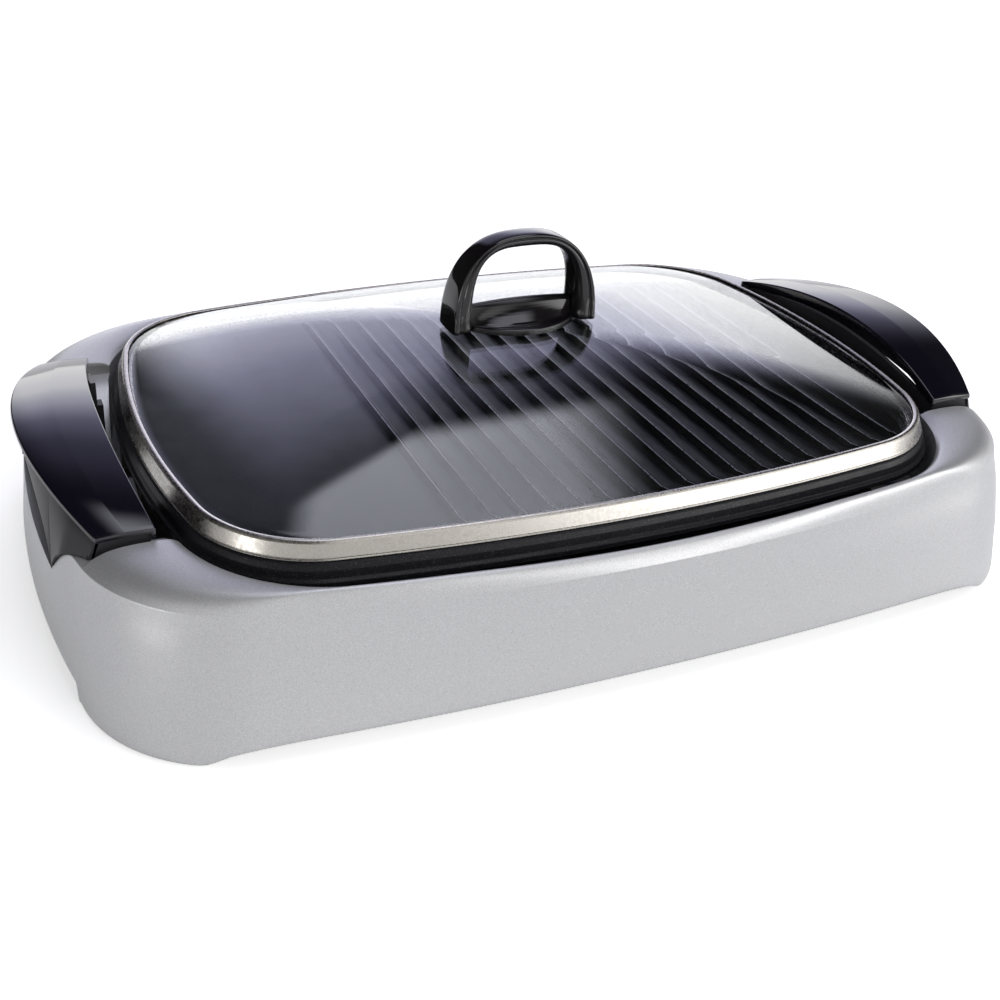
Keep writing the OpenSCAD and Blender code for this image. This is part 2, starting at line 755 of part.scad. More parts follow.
module handle_plinth() {
  steps = 5;
  color("#101013") in_well() difference() {
    translate([0, 0, plinth_z]) stack_solid([
      for (k = [steps:-1:-steps])
        let (x = plinth_half * sin(90 * k / steps))
        [for (p = plinth_section(x)) [x, p.x, p.y]]
    ]);
    bridge(plinth_half + 1, 1, 0.3);
  }
}
module glass_gasket() {
  color("#1d1d1f") in_well() translate([0, 0, apex]) difference() {
    cylinder(r = 10, h = gasket_h);
    translate([0, 0, -1]) cylinder(r = 2.6, h = gasket_h + 2);
  }
}
module glass_washer() {
  color("#c4c6c8") in_well() translate([0, 0, apex - glass_t - 1.2]) difference() {
    cylinder(r = 10, h = 1.2);
    translate([0, 0, -1]) cylinder(r = 2.6, h = 4);
  }
}
module knob_screw() {
  color("#8d9094") in_well() translate([0, 0, apex - glass_t - 1.2]) pan_screw(2.4, 10.5, 5, 2.6);
}

housing();
left_handle_cover();
right_handle_cover();
left_handle_base();
right_handle_base();
handle_screws();
rubber_feet();
heat_reflector();
reflector_screws();
plate_rests();
drip_tray();
grill_plate();
heating_element();
element_clamps();
clamp_screws();
terminal_guard();
guard_screws();
live_pin();
neutral_pin();
earth_contact();
probe_tube();
lid_glass();
lid_rim();
rim_seal();
lid_handle();
handle_plinth();
glass_gasket();
glass_washer();
knob_screw();
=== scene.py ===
"""Looks of an electric indoor grill with a lift-off glass lid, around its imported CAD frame."""

import math

import bmesh
import bpy
from mathutils import Matrix, Vector


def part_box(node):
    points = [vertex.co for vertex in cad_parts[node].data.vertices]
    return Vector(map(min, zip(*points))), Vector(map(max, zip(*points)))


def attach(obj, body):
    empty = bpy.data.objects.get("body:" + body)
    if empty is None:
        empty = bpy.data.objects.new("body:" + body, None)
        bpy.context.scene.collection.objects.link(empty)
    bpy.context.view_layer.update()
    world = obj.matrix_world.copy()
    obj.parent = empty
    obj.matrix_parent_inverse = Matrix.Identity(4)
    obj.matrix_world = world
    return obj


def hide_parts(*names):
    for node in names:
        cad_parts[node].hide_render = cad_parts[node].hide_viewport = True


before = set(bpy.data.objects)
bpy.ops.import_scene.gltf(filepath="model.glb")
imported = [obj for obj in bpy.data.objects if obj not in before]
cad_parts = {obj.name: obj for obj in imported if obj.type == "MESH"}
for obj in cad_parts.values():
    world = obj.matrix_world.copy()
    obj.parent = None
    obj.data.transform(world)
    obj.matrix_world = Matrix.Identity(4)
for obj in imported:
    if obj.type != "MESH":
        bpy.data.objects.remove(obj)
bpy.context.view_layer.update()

MM = 0.001


def box_mm(node):
    """The low and high corner of a CAD node, in millimetres."""
    low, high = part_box(node)
    return low / MM, high / MM


# ---- Driving dimensions, in millimetres, from the frame where it gives them --------------------
HOUSING_LOW, HOUSING_HIGH = box_mm("housing")
PLATE_LOW, PLATE_HIGH = box_mm("grill_plate")
RIM_LOW, RIM_HIGH = box_mm("lid_rim")
TRAY_LOW, TRAY_HIGH = box_mm("drip_tray")
PAN_LOW, PAN_HIGH = box_mm("heat_reflector")
GASKET_HIGH = box_mm("glass_gasket")[1]
HANDLE_LOW, HANDLE_HIGH = box_mm("right_handle_cover")
LOOP_LOW, LOOP_HIGH = box_mm("lid_handle")
WELL_Y = (RIM_LOW.y + RIM_HIGH.y) / 2
BODY_LEN = HOUSING_HIGH.x - HOUSING_LOW.x
BODY_DEP = HOUSING_HIGH.y - HOUSING_LOW.y
RIM_TOP = RIM_HIGH.z
RIM_SEAT = PLATE_HIGH.z
# Housing: wall, top of the edge round the opening, lower edge between and under the corner feet
WALL = 2.6
EDGE_Z = 83
ARCH_H = 11
BOTTOM_Z = 1.5
# Cut-out that an end handle lies over: height of its floor, half its width
RECESS_Z = 50
RECESS_HALF = 108
# Cooking surface and its ribs
COOK_Z = 80
RIB_H = 4
RIB_PITCH = 16.25
RIB_COUNT = 18
FIRST_RIB = -87


# ---- Outlines: two long arcs, two short arcs and four corner arcs ------------------------------
class Outline:
    """A rounded rectangle of tangent arcs, centred on the origin."""

    def __init__(self, half_x, half_y, long_r, short_r, corner_r):
        self.v = (half_x, half_y, long_r, short_r, corner_r)
        a = Vector((0, half_y - long_r))
        b = Vector((half_x - short_r, 0))
        p, q = long_r - corner_r, short_r - corner_r
        d = (b - a).length
        u = (b - a) / d
        s = (d * d + p * p - q * q) / (2 * d)
        h = math.sqrt(p * p - s * s)
        self.corner = a + u * s + Vector((u.y, -u.x)) * h
        self.long_angle = math.atan2(self.corner.y - a.y, self.corner.x)
        self.short_angle = math.atan2(self.corner.y, self.corner.x - b.x)

    def inset(self, d):
        return Outline(*(v - d for v in self.v))

    def blend(self, other, t):
        return Outline(*(a * (1 - t) + b * t for a, b in zip(self.v, other.v)))

    def scaled(self, s):
        return Outline(*(v * s for v in self.v))

    def on_short(self, t):
        a = self.short_angle * t
        return (self.v[0] - self.v[3] + self.v[3] * math.cos(a), self.v[3] * math.sin(a))

    def on_corner(self, a):
        return (self.corner.x + self.v[4] * math.cos(a), self.corner.y + self.v[4] * math.sin(a))

    def on_long(self, t):
        a = self.long_angle + (math.pi / 2 - self.long_angle) * t
        return (self.v[2] * math.cos(a), self.v[1] - self.v[2] + self.v[2] * math.sin(a))

    def x_at(self, y):
        y = abs(y)
        if y < self.v[3] * math.sin(self.short_angle):
            return self.v[0] - self.v[3] + math.sqrt(self.v[3] ** 2 - y * y)
        return self.corner.x + math.sqrt(self.v[4] ** 2 - (y - self.corner.y) ** 2)

    def y_at(self, x):
        return self.v[1] - self.v[2] + math.sqrt(self.v[2] ** 2 - x * x)

    def ring(self, n_short=14, n_corner=22, n_long=16):
        """Points of the whole outline, counter-clockwise from the +X end."""
        a, b = self.short_angle, self.long_angle
        quarter = [self.on_short(i / n_short) for i in range(n_short)]
        quarter += [self.on_corner(a + (b - a) * i / n_corner) for i in range(n_corner)]
        quarter += [self.on_long(i / n_long) for i in range(n_long + 1)]
        n = len(quarter) - 1
        back = range(n, 0, -1)
        return (
            quarter[:n]
            + [(-quarter[i][0], quarter[i][1]) for i in back]
            + [(-quarter[i][0], -quarter[i][1]) for i in range(n)]
            + [(quarter[i][0], -quarter[i][1]) for i in back]
        )


# Half length, half depth, and the radii of the long sides, the short sides and the corners
BASE_LINE = Outline(BODY_LEN / 2, BODY_DEP / 2, 2400, 640, 80)
SHOULDER_LINE = Outline(BODY_LEN / 2 - 7, BODY_DEP / 2 - 1, 1000, 560, 88)
OPENING_LINE = Outline(235, 179, 1130, 480, 90)
LID_LINE = Outline(228, 161, 1220, 470, 70)


# ---- Mesh helpers ------------------------------------------------------------------------------
WELD_M = 1e-7  # points closer than this, in metres, become one


def solid_mesh(name, verts, faces, weld=True):
    """A mesh from points in millimetres, with its normals outwards."""
    mesh = bpy.data.meshes.new(name)
    mesh.from_pydata([Vector(v) * MM for v in verts], [], faces)
    bm = bmesh.new()
    bm.from_mesh(mesh)
    if weld:
        bmesh.ops.remove_doubles(bm, verts=bm.verts, dist=WELD_M)
    bmesh.ops.recalc_face_normals(bm, faces=bm.faces)
    bm.to_mesh(mesh)
    bm.free()
    return mesh


def linked(name, data):
    """An object of this data, in the scene."""
    obj = bpy.data.objects.new(name, data)
    bpy.context.scene.collection.objects.link(obj)
    return obj


def new_object(
    name, verts, faces, material, body, replaces=(), levels=0, crease=38, cutter=None
):
    """A finished piece from points in millimetres, riding on its body."""
    mesh = solid_mesh(name, verts, faces)
    obj = linked(name, mesh)
    if cutter:
        mesh = obj.data = carved(obj, cutter)
        mesh.name = name
    mesh.materials.append(material)
    mesh.shade_smooth()
    if levels:
        sub = obj.modifiers.new("surface", "SUBSURF")
        sub.levels = levels
        sub.render_levels = levels
    else:
        mesh.set_sharp_from_angle(angle=math.radians(crease))
    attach(obj, body)
    if replaces:
        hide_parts(*replaces)


def carved(obj, cutter):
    """The mesh of an object with the cutter's solids (points and faces) taken out of it."""
    tool = linked("tool", solid_mesh("tool", *cutter, weld=False))
    cut = obj.modifiers.new("cut", "BOOLEAN")
    cut.operation = "DIFFERENCE"
    cut.solver = "EXACT"
    cut.use_self = True
    cut.object = tool
    bpy.context.view_layer.update()
    graph = bpy.context.evaluated_depsgraph_get()
    result = bpy.data.meshes.new_from_object(obj.evaluated_get(graph))
    obj.modifiers.remove(cut)
    bpy.data.objects.remove(tool)
    return result


def loft(rings, closed=False):
    """Points and faces through rings of equal length; closed joins the last to the first."""
    n, m = len(rings[0]), len(rings)
    verts = [p for ring in rings for p in ring]
    faces = []
    for k in range(m if closed else m - 1):
        k2 = (k + 1) % m
        for i in range(n):
            j = (i + 1) % n
            faces.append((k * n + i, k2 * n + i, k2 * n + j, k * n + j))
    if not closed:
        faces.append(tuple(range(n)))
        faces.append(tuple((m - 1) * n + i for i in range(n)))
    return verts, faces


def join(*parts):
    """One list of points and faces from several."""
    verts, faces = [], []
    for v, f in parts:
        k = len(verts)
        verts += list(v)
        faces += [tuple(i + k for i in face) for face in f]
    return verts, faces


EDGE_SHARE = 0.49  # the most of an edge that the rounding of one corner takes


def fillet(points, radii, closed=True, steps=3):
    """The corners of a polyline rounded, with one radius for each corner."""
    n = len(points)
    out = []
    for i, p in enumerate(points):
        if not closed and i in (0, n - 1) or radii[i] <= 0:
            out.append(p)
            continue
        p = Vector(p)
        a = Vector(points[i - 1]) - p
        b = Vector(points[(i + 1) % n]) - p
        half = a.angle(b) / 2
        cut = min(radii[i] / math.tan(half), EDGE_SHARE * a.length, EDGE_SHARE * b.length)
        r = cut * math.tan(half)
        a0, b0 = p + a.normalized() * cut, p + b.normalized() * cut
        centre = p + (a.normalized() + b.normalized()).normalized() * (r / math.sin(half))
        for s in range(steps + 1):
            t = s / steps
            arm = (a0 - centre).lerp(b0 - centre, t)
            out.append(tuple(centre + arm.normalized() * r))
    return out


def spline(points, step):
    """A Catmull-Rom curve through a polyline, with its own points kept; step counts each span."""
    out = []
    n = len(points)
    for i in range(n - 1):
        p0, p1, p2, p3 = (Vector(points[min(max(i + k, 0), n - 1)]) for k in (-1, 0, 1, 2))
        for j in range(step):
            t = j / step
            out.append(tuple(
                p1 + (p2 - p0) * (t / 2)
                + (p0 * 2 - p1 * 5 + p2 * 4 - p3) * (t * t / 2)
                + (p1 * 3 - p0 - p2 * 3 + p3) * (t ** 3 / 2)
            ))
    return out + [tuple(points[-1])]


def sweep(line, profile, closed=True):
    """A profile of (inset, height) points carried round an outline, centred on the well."""
    rings = [[(x, y + WELL_Y, z) for x, y in line.inset(d).ring()] for d, z in profile]
    return loft(rings, closed)


# ---- Materials ---------------------------------------------------------------------------------
def material(name, color, rough, metal=0.0, **sockets):
    """A Principled material; returns it with its node tree and its shader."""
    m = bpy.data.materials.new(name)
    m.use_nodes = True
    shader = m.node_tree.nodes["Principled BSDF"]
    shader.inputs["Base Color"].default_value = (*color, 1)
    shader.inputs["Roughness"].default_value = rough
    shader.inputs["Metallic"].default_value = metal
    for key, value in sockets.items():
        shader.inputs[key.replace("_", " ")].default_value = value
    return m, m.node_tree, shader


def noise(tree, scale, detail, stretch=(1, 1, 1)):
    """A noise texture in object space, in features of about 1/scale metres."""
    place = tree.nodes.new("ShaderNodeTexCoord")
    size = tree.nodes.new("ShaderNodeMapping")
    size.inputs["Scale"].default_value = stretch
    tex = tree.nodes.new("ShaderNodeTexNoise")
    tex.inputs["Scale"].default_value = scale
    tex.inputs["Detail"].default_value = detail
    tree.links.new(place.outputs["Object"], size.inputs["Vector"])
    tree.links.new(size.outputs["Vector"], tex.inputs["Vector"])
    return tex.outputs["Fac"]


def spread(tree, value, low, high, out_low, out_high, kind="LINEAR"):
    """A value from low to high brought to the range from out_low to out_high."""
    node = tree.nodes.new("ShaderNodeMapRange")
    node.interpolation_type = kind
    node.inputs["From Min"].default_value = low
    node.inputs["From Max"].default_value = high
    node.inputs["To Min"].default_value = out_low
    node.inputs["To Max"].default_value = out_high
    tree.links.new(value, node.inputs["Value"])
    return node.outputs["Result"]


def calc(tree, operation, a, b):
    """A Math node over two values, each a socket or a number."""
    node = tree.nodes.new("ShaderNodeMath")
    node.operation = operation
    for socket, value in zip(node.inputs, (a, b)):
        if isinstance(value, (int, float)):
            socket.default_value = value
        else:
            tree.links.new(value, socket)
    return node.outputs[0]


def mix_colors(tree, value, a, b):
    """Colour a where the value is 0 and colour b where it is 1."""
    node = tree.nodes.new("ShaderNodeMix")
    node.data_type = "RGBA"
    node.inputs["A"].default_value = (*a, 1)
    node.inputs["B"].default_value = (*b, 1)
    tree.links.new(value, node.inputs["Factor"])
    return node.outputs["Result"]


def bump(tree, shader, height, strength, distance):
    """Fine relief in the shader's normal, up to a distance in metres."""
    node = tree.nodes.new("ShaderNodeBump")
    node.inputs["Strength"].default_value = strength
    node.inputs["Distance"].default_value = distance
    tree.links.new(height, node.inputs["Height"])
    tree.links.new(node.outputs["Normal"], shader.inputs["Normal"])


def silver_paint():
    """Fine metallic flakes under a satin coat."""
    m, tree, shader = material("silver_paint", (0.6, 0.6, 0.62), 0.4, 0.55)
    flakes = noise(tree, 2600, 1.0)
    cloud = noise(tree, 14, 3.0)
    grain = spread(tree, flakes, 0.3, 0.7, 0.0, 1.0)
    tree.links.new(
        mix_colors(tree, grain, (0.43, 0.433, 0.442), (0.62, 0.622, 0.63)),
        shader.inputs["Base Color"],
    )
    tree.links.new(spread(tree, cloud, 0.3, 0.7, 0.36, 0.44), shader.inputs["Roughness"])
    bump(tree, shader, flakes, 0.12, 0.0002)
    return m


def gloss_black(name, tint, level):
    """Polished moulding with the faint waviness and wipe marks of real plastic."""
    m, tree, shader = material(name, tint, 0.08, Specular_IOR_Level=level)
    tree.links.new(
        spread(tree, noise(tree, 90, 4.0), 0.35, 0.75, 0.04, 0.10), shader.inputs["Roughness"]
    )
    bump(tree, shader, noise(tree, 35, 1.0), 0.02, 0.0008)
    return m


def satin_black(name, tint, rough, scale=1400, level=0.5):
    """Spark-eroded mould texture."""
    m, tree, shader = material(name, tint, rough, Specular_IOR_Level=level)
    pits = noise(tree, scale, 2.0)
    tree.links.new(
        mix_colors(tree, pits, tuple(c * 0.8 for c in tint), tuple(c * 1.2 for c in tint)),
        shader.inputs["Base Color"],
    )
    bump(tree, shader, pits, 0.35, 0.0003)
    return m


def nonstick():
    """Sprayed coating over cast aluminium: fine speckle and an orange-peel surface."""
    m, tree, shader = material(
        "nonstick_coat", (0.012, 0.012, 0.014), 0.34, Specular_IOR_Level=0.2
    )
    speckle = spread(tree, noise(tree, 1800, 1.0), 0.62, 0.72, 0.0, 1.0)
    tree.links.new(
        mix_colors(tree, speckle, (0.010, 0.010, 0.012), (0.06, 0.06, 0.065)),
        shader.inputs["Base Color"],
    )
    tree.links.new(
        spread(tree, noise(tree, 60, 3.0), 0.3, 0.7, 0.28, 0.42), shader.inputs["Roughness"]
    )
    bump(tree, shader, noise(tree, 900, 2.0), 0.3, 0.0002)
    return m


def steel(name, color, rough, stretch=(1, 1, 1), scale=500):
    """Metal with a fine drawn grain."""
    m, tree, shader = material(name, color, rough, 1.0)
    grain = noise(tree, scale, 3.0, stretch=stretch)
    tree.links.new(
        spread(tree, grain, 0.3, 0.7, rough * 0.75, rough * 1.3), shader.inputs["Roughness"]
    )
    bump(tree, shader, grain, 0.04, 0.0001)
    return m


def heat_tinted():
    """Element sheath: straw to blue-grey bands where it has been hot."""
    m, tree, shader = material("heat_tinted_sheath", (0.2, 0.18, 0.16), 0.45, 0.8)
    band = noise(tree, 30, 3.0)
    tree.links.new(
        mix_colors(tree, band, (0.16, 0.15, 0.16), (0.30, 0.24, 0.17)),
        shader.inputs["Base Color"],
    )
    bump(tree, shader, noise(tree, 1200, 1.0), 0.2, 0.0002)
    return m


def clear_glass():
    """Tempered glass, a touch green along its edge."""
    m, tree, shader = material(
        "clear_glass", (0.94, 0.965, 0.96), 0.0, Transmission_Weight=1.0, IOR=1.5
    )
    tree.links.new(
        mix_colors(tree, noise(tree, 12, 2.0), (0.93, 0.96, 0.955), (0.95, 0.97, 0.965)),
        shader.inputs["Base Color"],
    )
    return m


SILVER = silver_paint()
HANDLE_GLOSS = gloss_black("handle_gloss", (0.006, 0.005, 0.010), 0.7)
KNOB_GLOSS = gloss_black("knob_gloss", (0.007, 0.006, 0.007), 0.5)
HANDLE_SATIN = satin_black("handle_satin", (0.028, 0.027, 0.031), 0.42, level=0.25)
PHENOLIC = satin_black("phenolic", (0.035, 0.03, 0.026), 0.5)
RUBBER = satin_black("rubber", (0.02, 0.02, 0.02), 0.75, 700)
TRAY_ENAMEL = satin_black("tray_enamel", (0.11, 0.11, 0.115), 0.3, 900)
NONSTICK = nonstick()
# Brighter metal for thin strips on the rib crests: painted highlight lines.
RIB_HIGHLIGHT_PAINT = steel("painted_rib_highlight_coat", (0.30, 0.30, 0.32), 0.3)
RIM_STEEL = steel("rim_steel", (0.45, 0.43, 0.40), 0.28)
SHEET_ALUMINIUM = steel("sheet_aluminium", (0.62, 0.63, 0.65), 0.3, (1, 12, 1), 220)
PLATED = steel("plated_contact", (0.82, 0.82, 0.80), 0.15)
ZINC = steel("zinc_screw", (0.55, 0.56, 0.58), 0.28)
SHEATH = heat_tinted()
GLASS = clear_glass()

NODE_FINISH = {
    "left_handle_base": HANDLE_SATIN, "right_handle_base": HANDLE_SATIN,
    "handle_screws": ZINC, "reflector_screws": ZINC, "clamp_screws": ZINC,
    "guard_screws": ZINC, "knob_screw": ZINC,
    "rubber_feet": RUBBER, "glass_gasket": RUBBER,
    "plate_rests": PHENOLIC, "terminal_guard": PHENOLIC,
    "heating_element": SHEATH, "element_clamps": SHEET_ALUMINIUM,
    "live_pin": PLATED, "neutral_pin": PLATED, "earth_contact": PLATED, "probe_tube": PLATED,
    "glass_washer": PLATED,
}
for node_name, finish in NODE_FINISH.items():
    node_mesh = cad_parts[node_name].data
    if not node_mesh.materials:
        node_mesh.materials.append(finish)
    for index in range(len(node_mesh.materials)):
        node_mesh.materials[index] = finish


# ---- Housing -----------------------------------------------------------------------------------
# Across an end: the cut-out's floor runs to FLANK_Y, its flank climbs by FLANK_RISE, and
# after a short level run the tower beside it goes up steeply
FLANK_Y = 60
FLANK_RISE = 28
TOWER_STEP = 4
TOWER_RUN = 1
TOWER_SLOPE = 6
RECESS_ROUND = 1.6
# Ledge inside the opening, and the wall's shoulder
LEDGE_Z = 44
LEDGE_IN = 25
SHOULDER_Z = 76
SHOULDER_R = 3.5
# The edge round the opening turns down over the well: overhang, depth and its three radii
LIP_OVER = 0.4
LIP_DROP = 6
LIP_R = [1.6, 2, 1.5]
# A top narrower than SLIM_W has the slim section, and turns into the wide one over WIDEN more
SLIM_W = 7
WIDEN = 30
# Stations across an end, dense where the flank curves and where the tower stands up
END_Y = [0, 12, 24, 36, 46, 54, 57, 59, 60, 61, *range(63, 103, 3)]
END_Y += [104, 104.8, 105.4, 105.8, 106.1, 106.4, 106.7, 107, 107.3, 107.6, 108]
CORNER_N = 30
LONG_N = 14
# Lower edge along the front and the rear as (x, height): it climbs away from the corner feet
FOOT_CLIMB = [
    (0, 11), (186, 10.4), (205, 9.6), (214, 8.6), (220, 7), (225, 4.6), (229, 2.6), (232, 1.6),
    (240, 1.5),
]
# At an end it drops to the foot over FOOT_RUN, from FOOT_LEAD before the cut-out's end
FOOT_LEAD, FOOT_RUN = 3.2, 3
# Its bevel; the wall starts FOOT_WALL above it and is back on WALL_UP after FOOT_BLEND
FOOT_EDGE = 0.5
FOOT_WALL, FOOT_BLEND = 3, 20
# Wall as (share of the way from the lower edge to the shoulder, height)
WALL_UP = [(0.0, 14), (0.3, 34), (0.62, 56), (0.88, 69), (1, SHOULDER_Z)]
# Top from the shoulder to the opening as (share, rise): across a wide end and a narrow side
TOP_WIDE = [(0, 0), (0.13, 5.0), (0.32, 8.4), (0.62, 9.6), (0.9, 8.9), (1, 6.5)]
TOP_SLIM = [(0, 0), (0.13, 1.7), (0.32, 3.8), (0.62, 6.3), (0.9, 7.3), (1, 6.5)]


def recess(y):
    """Height of the surface that an end handle lies over, at a distance y from the middle."""
    y = abs(y)
    flank_end = RECESS_HALF - TOWER_STEP
    if y <= FLANK_Y:
        return RECESS_Z
    if y <= flank_end:
        u = (y - FLANK_Y) / (flank_end - FLANK_Y)
        return RECESS_Z + FLANK_RISE * (1 - (1 - u) ** 2)
    if y < flank_end + TOWER_RUN:
        return RECESS_Z + FLANK_RISE
    return RECESS_Z + FLANK_RISE + (y - flank_end - TOWER_RUN) * TOWER_SLOPE


def soft_min(a, b, r):
    """The lower of two heights, rounded where they meet."""
    h = max(r - abs(a - b), 0) / r
    return min(a, b) - h * h * r / 4


def end_quarter(line, dy):
    """A quarter outline whose first points lie at the same END_Y stations on every outline."""
    start = math.asin((END_Y[-1] - dy - line.corner.y) / line.v[4])
    stop = line.long_angle
    return (
        [(line.x_at(y - dy), y - dy) for y in END_Y]
        + [line.on_corner(start + (stop - start) * i / CORNER_N) for i in range(1, CORNER_N)]
        + [line.on_long(i / LONG_N) for i in range(LONG_N + 1)]
    )


def end_ring(line, cy):
    """A whole outline centred at Y = cy, with the END_Y stations at both ends."""
    rear, front = end_quarter(line, cy), end_quarter(line, -cy)
    n = len(rear) - 1
    back = range(n, 0, -1)
    return (
        [(x, y + cy) for x, y in rear[:n]]
        + [(-rear[i][0], rear[i][1] + cy) for i in back]
        + [(-x, cy - y) for x, y in front[:n]]
        + [(front[i][0], cy - front[i][1]) for i in back]
    )


def lower_edge(x, y):
    """Height of the lower edge: on the table at the corners, raised between them."""
    x, y = abs(x), abs(y)
    if y < RECESS_HALF:
        t = min(1, max(0, (y - RECESS_HALF + FOOT_LEAD) / FOOT_RUN))
        return ARCH_H + (BOTTOM_Z - ARCH_H) * t ** 2
    for (xa, za), (xb, zb) in zip(FOOT_CLIMB, FOOT_CLIMB[1:]):
        if x <= xb:
            return za + (zb - za) * (x - xa) / (xb - xa)
    return BOTTOM_Z


def along(anchors, d):
    """The point at a distance d along a path of (x, y) anchors."""
    for a, b in zip(anchors, anchors[1:]):
        span = (b - a).length
        if d <= span or b is anchors[-1]:
            return a + (b - a) * (d / span)
        d -= span


def wall_section(base, shoulder, opening, ledge):
    """The shell cut at one station: its points from the outer foot up, over and back down."""
    lean = (shoulder - base).length
    width = (opening - shoulder).length
    shelf = (ledge - opening).length
    foot = lower_edge(base.x, base.y)
    wide = min(1, max(0, (width - SLIM_W) / WIDEN))
    top = [(a, w * wide + s * (1 - wide)) for (a, w), (_, s) in zip(TOP_WIDE, TOP_SLIM)]
    up = spline(WALL_UP, 5)
    start_z = WALL_UP[0][1]
    lift = foot + FOOT_WALL - start_z
    outer = [(FOOT_EDGE, foot), (0, foot + FOOT_EDGE)]
    outer += [(lean * t, z + lift * max(0, 1 - (z - start_z) / FOOT_BLEND)) for t, z in up[:-1]]
    outer += [(lean + width * t, SHOULDER_Z + z) for t, z in spline(top, 5)]
    crease = 2 + len(up) - 1
    lip = lean + width + LIP_OVER
    radii = [0.0] * crease + [SHOULDER_R] + [0.0] * (len(outer) - crease - 2) + LIP_R
    line = fillet(
        outer + [(lip, EDGE_Z - LIP_DROP), (lip, LEDGE_Z)], radii, closed=False, steps=5
    )
    line += [(lean + width + shelf, LEDGE_Z)]
    anchors = (base, shoulder, opening, ledge)
    return [(*along(anchors, d), z) for d, z in line]


def housing():
    """The shell as one closed loft of its sections: outside, well, ledge and inside."""
    base, shoulder = end_ring(BASE_LINE, 0), end_ring(SHOULDER_LINE, 0)
    opening = end_ring(OPENING_LINE, WELL_Y)
    ledge = end_ring(OPENING_LINE.inset(LEDGE_IN), WELL_Y)
    rings = []
    for station in zip(base, shoulder, opening, ledge):
        section = wall_section(*(Vector(p) for p in station))
        rings.append([(x, y, soft_min(z, recess(y), RECESS_ROUND)) for x, y, z in section])
    inner = []
    for line, cy, z in (
        (OPENING_LINE.inset(LEDGE_IN), WELL_Y, LEDGE_Z - WALL),
        (OPENING_LINE.inset(-WALL), WELL_Y, LEDGE_Z - WALL),
        (OPENING_LINE.inset(-WALL), WELL_Y, EDGE_Z - 4.5),
        (SHOULDER_LINE.inset(WALL), 0, 73),
        *((BASE_LINE.blend(SHOULDER_LINE, t).inset(WALL), 0, z) for t, z in WALL_UP[2:0:-1]),
    ):
        inner.append([
            (x, y, min(z, recess(max(0, abs(y) - WALL)) - WALL)) for x, y in end_ring(line, cy)
        ])
    inside = end_ring(BASE_LINE.inset(WALL), 0)
    inner.append([(*p, lower_edge(*q)) for p, q in zip(inside, base)])
    for i, section in enumerate(rings):
        section += [ring[i] for ring in inner]
    verts, faces = loft(rings, closed=True)
    new_object(
        "housing_shell", verts, faces, SILVER, "base", ["housing"], crease=50
    )


housing()


# ---- End handles -------------------------------------------------------------------------------
GRIP_HALF = (HANDLE_HIGH.y - HANDLE_LOW.y) / 2
GRIP_Z = 90.5
GRIP_RISE = 15.5
GRIP_IN, GRIP_IN_BOW = 234, 10
GRIP_OUT, GRIP_OUT_BOW = 263, 24.5
GRIP_LIP, GRIP_LIP_BOW = 5, 6
GRIP_ARCH = 62
GRIP_ARCH_TOP = 91
# The gloss top ends CAP_IN short of the handle's end, and its last CAP_RUN is a slimmer cap
CAP_IN, CAP_RUN = 0.2, 4
CAP_SCALE_X, CAP_SCALE_Z = 0.985, 0.9
# The skirt: gap over the housing, thickness, head below the top and inside its outer edge,
# how far its foot stands off the housing's side, and its flare
SKIRT_GAP = 0.8
SKIRT_T = 2.6
SKIRT_HEAD = 3.6
SKIRT_IN = 0.8
SKIRT_OUT = 0.8
SKIRT_FLARE = 0.4
SKIRT_POWER = 0.8
SKIRT_DOWN = (0, 0.1, 0.25, 0.4, 0.55, 0.7, 0.82, 0.92, 1)
# Its end walls, as distances of their two faces from the handle's end
END_WALL = (1.5, 3.6)
STATION_STEP = 3


def bow(y):
    """1 in the middle of a handle and 0 at its ends."""
    return 1 - (y / GRIP_HALF) ** 2


def skirt_z(y):
    """Height of the skirt's lower edge: over the housing, with the finger opening's arch."""
    y = abs(y)
    foot = recess(GRIP_ARCH) + SKIRT_GAP
    if y < GRIP_ARCH:
        return foot + (GRIP_ARCH_TOP - foot) * math.sqrt(1 - (y / GRIP_ARCH) ** 2)
    return recess(min(y, RECESS_HALF - TOWER_STEP)) + SKIRT_GAP


def grip_edges(y):
    """Top height, inner and outer edge of the cover, and the foot of its skirt, at Y."""
    z = GRIP_Z + GRIP_RISE * bow(y)
    inner = GRIP_IN + GRIP_IN_BOW * bow(y)
    outer = GRIP_OUT + GRIP_OUT_BOW * bow(y)
    foot = BASE_LINE.blend(SHOULDER_LINE, 0.6).x_at(y) + SKIRT_OUT
    return z, inner, outer, foot


def grip_top(y):
    """Closed section of the gloss top: a thin crowned plate with a rounded lip at each edge."""
    z, inner, outer, _ = grip_edges(y)
    lip = GRIP_LIP + GRIP_LIP_BOW * max(0, (bow(y) - 0.5) / 0.5)
    crown = 0.5
    mid = (inner + outer) / 2
    section = fillet(
        [
            (inner, z - lip), (inner, z), (mid, z + crown), (outer - 0.4, z - 0.6),
            (outer, z - 3.2), (outer - 3, z - 3.2), (mid, z - 2), (inner + 2.2, z - 2.4),
            (inner + 2.2, z - lip),
        ],
        [0.3, 0.9, 8, 0.9, 0.5, 0.5, 4, 0.5, 0.3], steps=4,
    )
    return [(x, y, h) for x, h in section]


def skirt_foot(y):
    """How far out the foot of the skirt stands: on the housing's side, less where it is short."""
    z, _, outer, foot = grip_edges(y)
    return min(foot, outer - SKIRT_IN + SKIRT_FLARE * (z - SKIRT_HEAD - skirt_z(y)))


